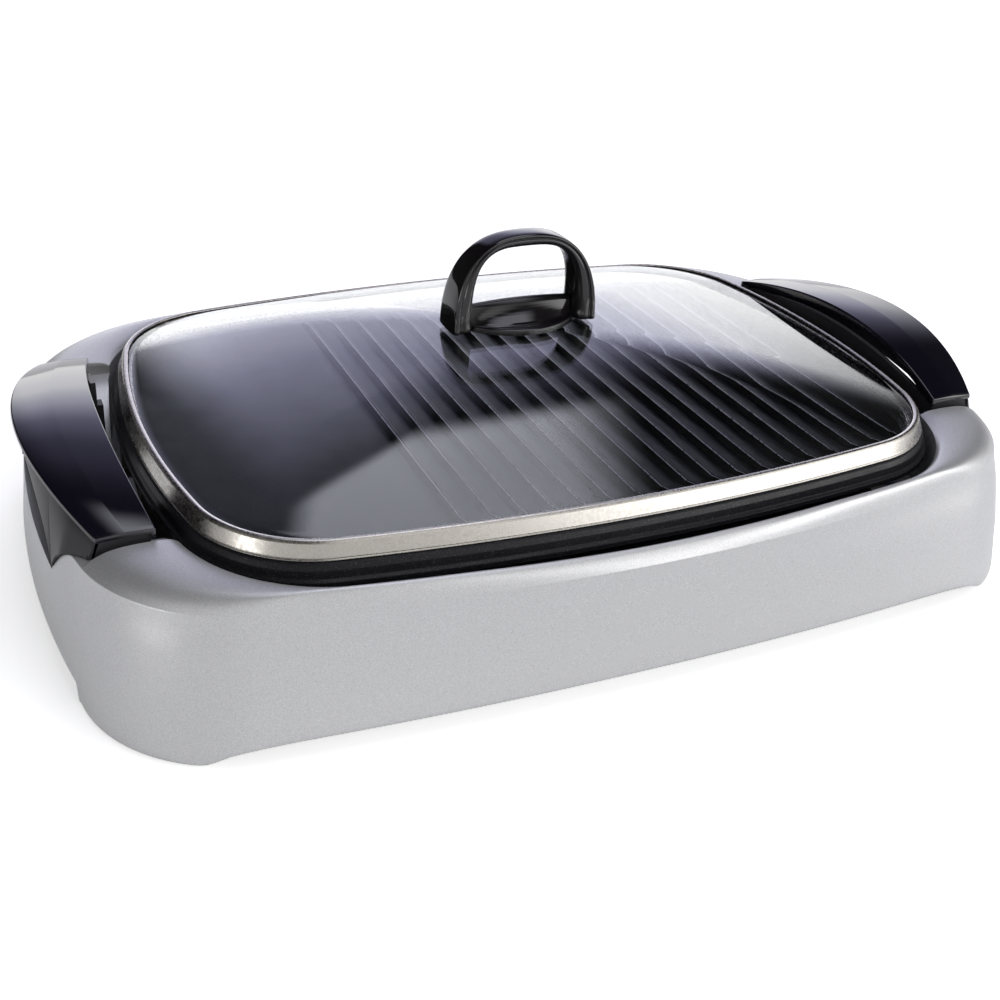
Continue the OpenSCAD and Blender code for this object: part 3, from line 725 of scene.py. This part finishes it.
def grip_skirt(y):
    """Closed section of the satin skirt that hangs from the outer edge of the top."""
    z, _, outer, _ = grip_edges(y)
    head = z - SKIRT_HEAD
    drop = head - skirt_z(y)
    flare = skirt_foot(y) - outer + SKIRT_IN
    out = [
        (outer - SKIRT_IN + flare * t ** SKIRT_POWER, head - drop * t) for t in SKIRT_DOWN
    ]
    return [(x, y, h) for x, h in out + [(x - SKIRT_T, h) for x, h in reversed(out)]]


def stations(breaks, step):
    """Y values through the breaks, at most a step apart."""
    out = []
    for a, b in zip(breaks, breaks[1:]):
        n = max(1, math.ceil((b - a) / step))
        out += [a + (b - a) * i / n for i in range(n)]
    return out + [breaks[-1]]


def end_handle(side):
    """One handle: its gloss top, and its satin skirt with an end wall at each end."""
    name = "right" if side > 0 else "left"
    ends = GRIP_HALF - CAP_IN
    ys = stations([-ends, -GRIP_HALF + CAP_RUN, GRIP_HALF - CAP_RUN, ends], STATION_STEP)
    slim = [grip_top(y) for y in (-GRIP_HALF, GRIP_HALF)]
    for ring, y in zip(slim, (-GRIP_HALF, GRIP_HALF)):
        cx = sum(p[0] for p in ring) / len(ring)
        cz = sum(p[2] for p in ring) / len(ring)
        ring[:] = [
            (cx + (x - cx) * CAP_SCALE_X, y, cz + (z - cz) * CAP_SCALE_Z) for x, _, z in ring
        ]
    top = loft([slim[0], *(grip_top(y) for y in ys), slim[1]])
    arch = [GRIP_ARCH * math.sin(math.radians(a)) for a in range(0, 90, 4)] + [GRIP_ARCH]
    half = arch + stations([GRIP_ARCH + 0.6, GRIP_HALF - END_WALL[0]], STATION_STEP)
    skirt_y = [-y for y in reversed(half[1:])] + half
    skirt = loft([grip_skirt(y) for y in skirt_y])
    walls = []
    for end in (-1, 1):
        rings = []
        for y in (end * (GRIP_HALF - inset) for inset in END_WALL):
            z, inner, outer, _ = grip_edges(y)
            low = skirt_z(y)
            rings.append([
                (inner + 1, y, z - 2.6), (outer - 1.5, y, z - 3.4),
                (skirt_foot(y) - 1.4, y, low), (inner + 3, y, low + 2),
            ])
        walls.append(loft(rings))
    skirt = join(skirt, *walls)
    flip = [[(side * x, y, z) for x, y, z in part[0]] for part in (top, skirt)]
    new_object(
        f"{name}_handle_top", flip[0], top[1], HANDLE_GLOSS, "base",
        [f"{name}_handle_cover"], crease=50,
    )
    new_object(
        f"{name}_handle_skirt", flip[1], skirt[1], HANDLE_SATIN, "base", crease=45
    )


end_handle(1)
end_handle(-1)


# ---- Grill plate -------------------------------------------------------------------------------
PLATE_BOTTOM = COOK_Z - 4
RIB_LINE = LID_LINE.inset(13)
# End of a rib as (distance from its tip, share of its height)
RIB_END = [(0, 0.05), (1.2, 0.5), (2.6, 0.85), (4.5, 1)]


def rib(x):
    """One rib with a rounded crest that sinks into the floor at both ends."""
    corner, corner_r = RIB_LINE.corner, RIB_LINE.v[4]
    half_y = RIB_LINE.y_at(abs(x))
    if abs(x) > corner.x:
        half_y = corner.y + math.sqrt(max(0, corner_r ** 2 - (abs(x) - corner.x) ** 2))
    shape = [(-3.1, -0.5), (-2.6, 0.5), (-1.7, RIB_H * 0.8), (-1.15, RIB_H * 0.96), (-0.6, RIB_H)]
    shape += [(-a, b) for a, b in reversed(shape)]
    rings = [(-half_y + d, k) for d, k in RIB_END]
    rings += [(-y, k) for y, k in reversed(rings)]
    return loft([[(x + a, y + WELL_Y, COOK_Z + b * k) for a, b in shape] for y, k in rings])


def painted_rib_highlight(x):
    """A strip of brighter metal along the upper edge of one rib: a painted highlight line."""
    half_y = RIB_LINE.y_at(abs(x)) - RIB_END[-1][0]
    a = [(-1.3, RIB_H * 0.9), (-1.25, RIB_H + 0.02), (-0.65, RIB_H + 0.06), (-0.6, RIB_H * 0.9)]
    return loft([[(x + b, y + WELL_Y, COOK_Z + h) for b, h in a] for y in (-half_y, 0, half_y)])


def post(x, y, z0, z1, r, n=20, stretch=0.0):
    """An upright round bar, or a slot's shape where it is stretched along Y."""
    ring = []
    for k in range(n):
        a = 2 * math.pi * (k + 0.5) / n
        c, s = math.cos(a), math.sin(a)
        ring.append((x + r * c, y + r * s + math.copysign(stretch, s)))
    return loft([[(px, py, z) for px, py in ring] for z in (z0, z1)])


# Clamps of the element as (x, y, whether their two bosses stand apart along X)
CLAMPS = [(0, -120, 0), (0, 120, 0), (-163.5, -68, 1), (-163.5, 68, 1), (40, -35, 0), (40, 35, 0)]
ROD_LOW = PLATE_BOTTOM - 7
BOSS_OFF, BOSS_R = 8, 3.6
# Block under the plate that carries the terminals: its ends in X and half its width
BLOCK_X, BLOCK_HALF = (-190, -152), 7
# Drain slots between ribs: ribs they follow, place, radius, half length and points round
SLOT_RIBS = (8, 9, 10)
SLOT_Y, SLOT_R, SLOT_HALF, SLOT_N = 128, 3, 7, 28


def grill_plate():
    """The cast dish with its ribs, bosses, terminal block and drain slots, and painted highlight
    strips on the ribs' crests.
    """
    profile = fillet(
        [
            (200, PLATE_BOTTOM), (-4.5, PLATE_BOTTOM), (-4.5, PLATE_BOTTOM + 3),
            (-2.6, PLATE_BOTTOM + 4), (-2, PLATE_BOTTOM + 8), (-0.6, RIM_SEAT - 0.8),
            (0.3, RIM_SEAT), (4.6, RIM_SEAT), (5.6, RIM_SEAT - 1), (7.4, COOK_Z + 1.4),
            (9.5, COOK_Z), (16, COOK_Z),
        ],
        [0, 0.7, 0.7, 0.8, 1.2, 0.6, 0.5, 0.5, 0.5, 1.5, 1.2, 0],
        closed=False,
    )[1:]
    dish = sweep(LID_LINE, profile, closed=False)
    ribs = [rib(FIRST_RIB + RIB_PITCH * k) for k in range(RIB_COUNT)]
    bosses = []
    for x, y, turned in CLAMPS:
        for s in (-BOSS_OFF, BOSS_OFF):
            dx, dy = (s, 0) if turned else (0, s)
            bosses.append(post(x + dx, y + dy + WELL_Y, ROD_LOW, PLATE_BOTTOM + 1, BOSS_R))
    low, high = PLATE_LOW.z, PLATE_BOTTOM + 1
    y0, y1 = WELL_Y - BLOCK_HALF, WELL_Y + BLOCK_HALF
    block = [[(x, y0, low), (x, y1, low), (x, y1, high), (x, y0, high)] for x in BLOCK_X]
    verts, faces = join(dish, *ribs, *bosses, loft(block))
    slots = [
        post(
            FIRST_RIB + RIB_PITCH * (k + 0.5), SLOT_Y + WELL_Y, PLATE_BOTTOM - 1, COOK_Z + 1,
            SLOT_R, SLOT_N, SLOT_HALF,
        )
        for k in SLOT_RIBS
    ]
    new_object(
        "ribbed_plate", verts, faces, NONSTICK, "plate", ["grill_plate"],
        cutter=join(*slots),
    )
    # Thin strips of brighter metal on the rib crests: painted highlight lines.
    verts, faces = join(*(painted_rib_highlight(FIRST_RIB + RIB_PITCH * k) for k in range(RIB_COUNT)))
    new_object("painted_rib_highlights", verts, faces, RIB_HIGHLIGHT_PAINT, "plate")


grill_plate()


# ---- Drip tray and reflector pan ---------------------------------------------------------------
def drip_tray():
    """Pressed tray with a flat floor, sloped sides and a rolled-out rim."""
    z0, z1 = TRAY_LOW.z, TRAY_HIGH.z
    profile = fillet(
        [
            (60, z0), (40, z0), (33, z1 - 1), (29, z1 - 1), (29, z1), (34, z1), (41, z0 + 1),
            (60, z0 + 1),
        ],
        [0, 4, 1.2, 0.4, 0.4, 1.4, 4, 0], closed=False,
    )
    verts, faces = sweep(OPENING_LINE, profile, closed=False)
    new_object("tray_shell", verts, faces, TRAY_ENAMEL, "tray", ["drip_tray"])


drip_tray()


def reflector():
    """Bright pan under the element, with upright sides and a rim that lies on the ledge."""
    z0, z1 = PAN_LOW.z, PAN_HIGH.z
    profile = fillet(
        [
            (60, z0), (26, z0), (26, z1 - 1), (18, z1 - 1), (18, z1), (27, z1), (27, z0 + 1),
            (60, z0 + 1),
        ],
        [0, 3, 0.8, 0.4, 0.4, 0.8, 2.5, 0], closed=False,
    )
    verts, faces = sweep(OPENING_LINE, profile, closed=False)
    new_object(
        "reflector_pan", verts, faces, SHEET_ALUMINIUM, "base",
        ["heat_reflector"],
    )


reflector()


# ---- Lid ---------------------------------------------------------------------------------------
STEEL_T = 0.8
SEAL_T = 0.6
GLASS_T = 4
GLASS_TOP = RIM_TOP - STEEL_T - SEAL_T
GLASS_LOW = GLASS_TOP - GLASS_T
RIM_TUCK = 3  # how far the rim's flange reaches down inside the plate's rim
RIM_FOOT = RIM_LOW.z + RIM_TUCK
# Dome of the glass: start inside the lid's outline, power of its curve, rise, rings
DOME_IN = 7
DOME_POWER = 2.4
DOME_RISE = 33
DOME_STEPS, DOME_SPACING, DOME_SHRINK = 28, 1.15, 0.985
# Slanted edge of the glass as (inset from the lid's outline, height)
GLASS_EDGE = ((2.65, GLASS_LOW), (4.65, GLASS_TOP))


def lid_rim():
    """Rolled channel: an outer band that leans in above a small bead, and a turned-in top."""
    z0, z1, t = RIM_FOOT, RIM_TOP, STEEL_T
    seat = GLASS_LOW - SEAL_T
    profile = fillet(
        [
            (0.9, z0), (0.1, z0 + 0.5), (0.0, z0 + 1.1), (0.55, z0 + 1.6), (0.5, z0 + 2.0),
            (0.7, z0 + 2.4), (2.8, z1 - 1.4), (3.8, z1 - 0.25), (4.8, z1), (6.2, z1 - 0.25),
            (6.4, z1 - t), (4.9, z1 - t), (4.2, z1 - 0.95), (3.5, z1 - 1.8), (1.9, seat),
            (6.4, seat), (6.4, seat - t), (1.3, seat - t), (1.1, z0 + t), (7.8, z0 + t),
            (7.8, z0 - RIM_TUCK), (8.6, z0 - RIM_TUCK), (8.6, z0),
        ],
        [0.4, 0.4, 0.3, 0.2, 0.1, 0.3, 1.2, 0.6, 0.8, 0.3, 0.3, 0.2, 0.2, 0.4, 0.2, 0.2, 0.2, 0.2,
         0.2, 0.3, 0.3, 0.3, 0.4],
    )
    verts, faces = sweep(LID_LINE, profile)
    new_object("rolled_rim", verts, faces, RIM_STEEL, "lid", ["lid_rim"])


lid_rim()


def rim_seal():
    """Soft ring that lines the channel under, beside and over the glass's edge."""
    z1 = RIM_TOP - STEEL_T
    profile = [
        (2.0, GLASS_LOW - SEAL_T), (2.1, GLASS_LOW), (4.4, z1 - 0.3), (4.8, z1), (6.6, z1),
        (6.6, GLASS_TOP), (4.6, GLASS_TOP), (2.6, GLASS_LOW), (6.2, GLASS_LOW),
        (6.2, GLASS_LOW - SEAL_T),
    ]
    verts, faces = sweep(LID_LINE, profile)
    new_object("seal_ring", verts, faces, RUBBER, "lid", ["rim_seal"])


rim_seal()


def lid_glass():
    """Domed sheet: its underside from the middle out, its slanted edge, its top back in."""
    inner_line = LID_LINE.inset(DOME_IN)
    scales = [
        1 - (i / DOME_STEPS) ** DOME_SPACING * DOME_SHRINK for i in range(DOME_STEPS + 1)
    ]

    def dome(s, z):
        line = inner_line.scaled(s)
        rise = DOME_RISE * (1 - s ** DOME_POWER)
        return [(x, y + WELL_Y, z + rise) for x, y in line.ring()]

    rings = [dome(s, GLASS_LOW) for s in reversed(scales)]
    for inset, z in GLASS_EDGE:
        rings.append([(x, y + WELL_Y, z) for x, y in LID_LINE.inset(inset).ring()])
    rings += [dome(s, GLASS_TOP) for s in scales]
    verts, faces = loft(rings)
    new_object("glass_dome", verts, faces, GLASS, "lid", ["lid_glass"])


lid_glass()


# ---- Loop handle and its dished plinth ---------------------------------------------------------
LOOP_Z = LOOP_LOW.z
LOOP_H = LOOP_HIGH.z - LOOP_LOW.z
LOOP_OUT = (LOOP_HIGH.x - LOOP_LOW.x) / 2
LOOP_IN = 32.7
LOOP_BAR = 8
LOOP_DEEP, LOOP_SLIM = 12.7, 7
LOOP_POWER_OUT, LOOP_POWER_IN = 2.5, 3.7
# The inner band spreads over the lowest FOOT_SPREAD_H of each leg
FOOT_SPREAD, FOOT_SPREAD_H = 0.10, 7
LOOP_DEGREES = [0, 1.5, 3, 5, 8, 11, 15, 19, 24, 30, *range(36, 145, 6)]
LOOP_DEGREES += [150, 156, 161, 165, 169, 172, 175, 177, 178.5, 180]
PLINTH_Z = GASKET_HIGH.z


def superellipse(rx, rz, n, a):
    """Point (x, z) of the upper half of a superellipse of power n, at an angle."""
    c, s = math.cos(a), math.sin(a)
    return Vector((math.copysign(abs(c) ** (2 / n), c) * rx, abs(s) ** (2 / n) * rz))


# Section of the loop as (share from the inner to the outer face, share of the half depth):
# an outer band and an inner band with a step between them
BAND = [
    (1.0, 0), (0.99, 0.45), (0.93, 0.8), (0.8, 0.95), (0.6, 0.985), (0.42, 0.97), (0.34, 0.90),
    (0.26, 0.895), (0.16, 0.97), (-0.05, 1.0), (-0.35, 0.985), (-0.65, 0.9), (-0.88, 0.66),
    (-0.98, 0.34), (-1, 0),
]
BAND += [(u, -w) for u, w in reversed(BAND[1:-1])]


def loop_section(a):
    """Section of the loop at an angle: deep at the feet and slim at the top."""
    p = superellipse(LOOP_OUT, LOOP_H, LOOP_POWER_OUT, a)
    q = superellipse(LOOP_IN, LOOP_H - LOOP_BAR, LOOP_POWER_IN, a)
    centre, arm = (p + q) / 2, (p - q) / 2
    depth = LOOP_SLIM + (LOOP_DEEP - LOOP_SLIM) * max(0, 1 - math.sin(a)) ** 0.7
    flare = 1 + FOOT_SPREAD * max(0, 1 - centre.y / FOOT_SPREAD_H) ** 2
    side = math.copysign(1, centre.x)
    points = []
    for u, w in BAND:
        x, z = centre.x + arm.x * u, centre.y + arm.y * u
        inward = flare if u < 0 else 1
        x -= side * 2.5 * (inward - 1) * 10 * max(0, -u)
        points.append((x, WELL_Y + depth * w * flare ** 0.5, LOOP_Z + z))
    return points


def loop_handle():
    """The loop, smoothed by subdivision."""
    verts, faces = loft([loop_section(math.radians(a)) for a in LOOP_DEGREES])
    new_object(
        "loop_grip", verts, faces, KNOB_GLOSS, "lid", ["lid_handle"], levels=2
    )


loop_handle()

# The plinth's outline is two arcs that meet in a lens; it is cut off inside the loop's legs
LENS_HALF, LENS_DEEP = 38, 22
PLINTH_HALF, PLINTH_STEPS = 32, 18
RIM_STEP = 3
HUMP_H, HUMP_BOW = 13.5, 1.5
# Its dish: how far it is hollowed below the rim, and the stations from the rim to the hump
DISH_DEEP = 0.9
DISH_T = (0.06, 0.14, 0.22, 0.3, 0.38, 0.46, 0.54, 0.62, 0.7, 0.77, 0.84, 0.9, 0.95)


def plinth_section(x):
    """Front rim, dish that climbs to the hump, its crown and the slope behind it, at X."""
    r = (LENS_HALF ** 2 + LENS_DEEP ** 2) / (2 * LENS_DEEP)
    w = math.sqrt(r * r - x * x) - r + LENS_DEEP
    h = HUMP_H + HUMP_BOW * (1 - (x / PLINTH_HALF) ** 2)
    z0 = RIM_STEP + 0.6
    y0 = 1.5 - w
    dish = []
    for t in DISH_T:
        hollow = DISH_DEEP * math.sin(math.pi * min(1, t * 1.6)) ** 2
        dish.append((y0 + (-2.5 - y0) * t, z0 - hollow + (h - 1 - z0) * t ** 3))
    rear = [((3.5 + w) / 2, (h + z0) / 2 - 2.5), (w - 0.6, z0), (w, RIM_STEP), (w, 0)]
    hump = [(-1, h), (1.5, h), (3.5, h - 1.5)]
    points = [(-w, 0), (-w, RIM_STEP), (y0, z0)] + dish + hump + rear
    radii = [0, 0.7, 0.4] + [1.0] * len(dish) + [2.5, 2.5, 2.5, 6, 0.5, 0.5, 0]
    return [(x, y + WELL_Y, z + PLINTH_Z) for y, z in fillet(points, radii)]


def plinth():
    """The lens-shaped foot between the legs of the loop."""
    verts, faces = loft([
        plinth_section(PLINTH_HALF * math.sin(math.pi / 2 * k / PLINTH_STEPS))
        for k in range(-PLINTH_STEPS, PLINTH_STEPS + 1)
    ])
    new_object(
        "dished_plinth", verts, faces, KNOB_GLOSS, "lid", ["handle_plinth"],
        crease=42,
    )


plinth()


# ---- Stage, light and camera -------------------------------------------------------------------
def direction(azimuth, elevation):
    """The unit vector towards an azimuth, counted from +X, and an elevation, in degrees."""
    a, e = math.radians(azimuth), math.radians(elevation)
    return (math.cos(a) * math.cos(e), math.sin(a) * math.cos(e), math.sin(e))


# Round soft boxes as (azimuth, elevation, full and outer half angle in degrees, level, colour)
SOFT_BOXES = [
    (-42, 12, 8, 34, 3.4, (1, 0.995, 0.99)),
    (-78, 44, 4, 18, 1.2, (1, 0.99, 0.97)),
    (-160, 2, 4, 13, 4.5, (1, 0.985, 0.96)),
]
# Rectangular soft box overhead: edges in the X and Y of a direction, each as a fade
BOX_LEFT, BOX_RIGHT = (-0.07, 0.05), (0.40, 0.50)
BOX_NEAR, BOX_FAR = (-0.5, -0.2), (0.44, 0.53)
BOX_FOOT = (0.3, 0.5)
BOX_LEVEL, BOX_COLOR = 2.3, (0.95, 0.96, 1.08)
# Room in front as (sine of the elevation, level), a touch warm; it fades out towards the rear
ROOM = [(0.0, 0.9), (0.2, 0.85), (0.4, 0.55), (0.65, 0.2), (0.8, 0.06), (1.0, 0.03)]
ROOM_WARM = (1, 0.995, 0.985)
ROOM_FADE, ROOM_REST = (-0.1, 0.3), 0.04
# Bright backdrop behind as (sine of the elevation, colour), with its fades in Y and X
REAR = [
    (0.0, (1.9, 1.9, 1.9)), (0.22, (2.35, 2.35, 2.5)), (0.36, (1.6, 1.6, 2.0)),
    (0.47, (0.7, 0.69, 1.0)), (0.6, (0.28, 0.27, 0.42)), (0.8, (0.10, 0.10, 0.15)),
    (1.0, (0.0, 0.0, 0.0)),
]
REAR_FADE = (0.5, 0.74)
REAR_LEFT, REAR_RIGHT, REAR_REST = (-0.14, 0.0), (0.5, 0.85), 0.45


def studio_world():
    """White backdrop that dims upwards to lavender grey, and soft boxes above and beside it."""
    world = bpy.data.worlds.new("studio")
    bpy.context.scene.world = world
    world.use_nodes = True
    tree = world.node_tree
    tree.nodes.clear()
    place = tree.nodes.new("ShaderNodeTexCoord")
    axes = tree.nodes.new("ShaderNodeSeparateXYZ")
    tree.links.new(place.outputs["Generated"], axes.inputs["Vector"])
    x, y, z = (axes.outputs[name] for name in "XYZ")

    def fade(value, start, end, low=0.0, high=1.0):
        return spread(tree, value, start, end, low, high, "SMOOTHSTEP")

    def both(a, b):
        return calc(tree, "MULTIPLY", a, b)

    def add(total, level, color):
        node = tree.nodes.new("ShaderNodeMix")
        node.data_type = "RGBA"
        node.blend_type = "ADD"
        node.clamp_factor = False
        node.inputs["B"].default_value = (*color, 1)
        tree.links.new(level, node.inputs["Factor"])
        tree.links.new(total, node.inputs["A"])
        return node.outputs["Result"]

    def scaled(color, level):
        node = tree.nodes.new("ShaderNodeVectorMath")
        node.operation = "SCALE"
        tree.links.new(color, node.inputs[0])
        tree.links.new(level, node.inputs["Scale"])
        return node.outputs[0]

    def ramp(stops):
        node = tree.nodes.new("ShaderNodeValToRGB")
        tree.links.new(z, node.inputs["Fac"])
        marks = node.color_ramp.elements
        for mark, (position, color) in zip(marks, (stops[0], stops[-1])):
            mark.position, mark.color = position, (*color, 1)
        for position, color in stops[1:-1]:
            marks.new(position).color = (*color, 1)
        return node.outputs["Color"]

    room = scaled(
        ramp([(h, tuple(v * c for c in ROOM_WARM)) for h, v in ROOM]),
        fade(y, *ROOM_FADE, 1, ROOM_REST),
    )
    side = both(fade(x, *REAR_LEFT), fade(x, *REAR_RIGHT, 1, REAR_REST))
    side = both(side, fade(y, *REAR_FADE))
    sky = tree.nodes.new("ShaderNodeVectorMath")
    sky.operation = "ADD"
    tree.links.new(room, sky.inputs[0])
    tree.links.new(scaled(ramp(REAR), side), sky.inputs[1])
    box = both(fade(x, *BOX_LEFT), fade(x, *BOX_RIGHT, 1, 0))
    box = both(box, both(fade(y, *BOX_NEAR), fade(y, *BOX_FAR, 1, 0)))
    box = both(box, fade(z, *BOX_FOOT, 0, BOX_LEVEL))
    total = add(sky.outputs[0], box, BOX_COLOR)
    for azimuth, elevation, full, outer, level, color in SOFT_BOXES:
        aim = tree.nodes.new("ShaderNodeVectorMath")
        aim.operation = "DOT_PRODUCT"
        aim.inputs[1].default_value = direction(azimuth, elevation)
        tree.links.new(place.outputs["Generated"], aim.inputs[0])
        near, far = (math.cos(math.radians(a)) for a in (full, outer))
        total = add(total, fade(aim.outputs["Value"], far, near, 0, level), color)
    background = tree.nodes.new("ShaderNodeBackground")
    output = tree.nodes.new("ShaderNodeOutputWorld")
    rays = tree.nodes.new("ShaderNodeLightPath")
    seen = tree.nodes.new("ShaderNodeMix")
    seen.data_type = "RGBA"
    seen.inputs["B"].default_value = (1, 1, 1, 1)
    tree.links.new(total, seen.inputs["A"])
    tree.links.new(rays.outputs["Is Camera Ray"], seen.inputs["Factor"])
    tree.links.new(seen.outputs["Result"], background.inputs["Color"])
    tree.links.new(background.outputs["Background"], output.inputs["Surface"])


studio_world()


FLOOR_HALF_M = 6.0
# Light of the floor's own, by the kind of ray that sees it
FLOOR_GLOW = {"Is Camera Ray": 0.58, "Is Transmission Ray": 0.58, "Is Glossy Ray": 0.36}


def floor():
    """Pale floor: white for the camera and through glass, dimmer in metal, shadow kept."""
    half = FLOOR_HALF_M
    mesh = bpy.data.meshes.new("floor")
    corners = [(-half, -half, 0), (half, -half, 0), (half, half, 0), (-half, half, 0)]
    mesh.from_pydata(corners, [], [(0, 1, 2, 3)])
    obj = linked("floor", mesh)
    m, tree, shader = material("floor_white", (0.93, 0.93, 0.93), 0.9)
    rays = tree.nodes.new("ShaderNodeLightPath")
    level = None
    for name, glow in FLOOR_GLOW.items():
        part = calc(tree, "MULTIPLY", rays.outputs[name], glow)
        level = calc(tree, "MAXIMUM", level, part) if level else part
    shader.inputs["Emission Color"].default_value = (1, 1, 1, 1)
    tree.links.new(level, shader.inputs["Emission Strength"])
    mesh.materials.append(m)


floor()


# The camera that fits the photograph: place in metres, heading, tilt down and roll in radians,
# focal length and principal point in pixels of the 1000-pixel frame
CAM_PLACE = (-0.32019, -0.64537, 0.42430)
CAM_YAW, CAM_PITCH, CAM_ROLL = 0.41433, 0.48955, 0.04887
FOCAL_PX = 1309.5
CENTRE_PX = (451.9, 448.3)
FRAME_PX = 1000
SENSOR_MM = 36


def camera():
    """The photograph's camera, shifted to its principal point."""
    data = bpy.data.cameras.new("camera")
    obj = linked("camera", data)
    forward = Vector((
        math.sin(CAM_YAW) * math.cos(CAM_PITCH),
        math.cos(CAM_YAW) * math.cos(CAM_PITCH),
        -math.sin(CAM_PITCH),
    ))
    level = Vector((math.cos(CAM_YAW), -math.sin(CAM_YAW), 0))
    upright = level.cross(forward)
    right = level * math.cos(CAM_ROLL) + upright * math.sin(CAM_ROLL)
    up = upright * math.cos(CAM_ROLL) - level * math.sin(CAM_ROLL)
    turn = Matrix((right, up, -forward)).transposed()
    obj.matrix_world = Matrix.Translation(CAM_PLACE) @ turn.to_4x4()
    data.sensor_width = SENSOR_MM
    data.lens = FOCAL_PX / FRAME_PX * SENSOR_MM
    data.shift_x = 0.5 - CENTRE_PX[0] / FRAME_PX
    data.shift_y = CENTRE_PX[1] / FRAME_PX - 0.5
    data.clip_start = 0.01
    bpy.context.scene.camera = obj


camera()
bpy.context.scene.view_settings.view_transform = "Standard"
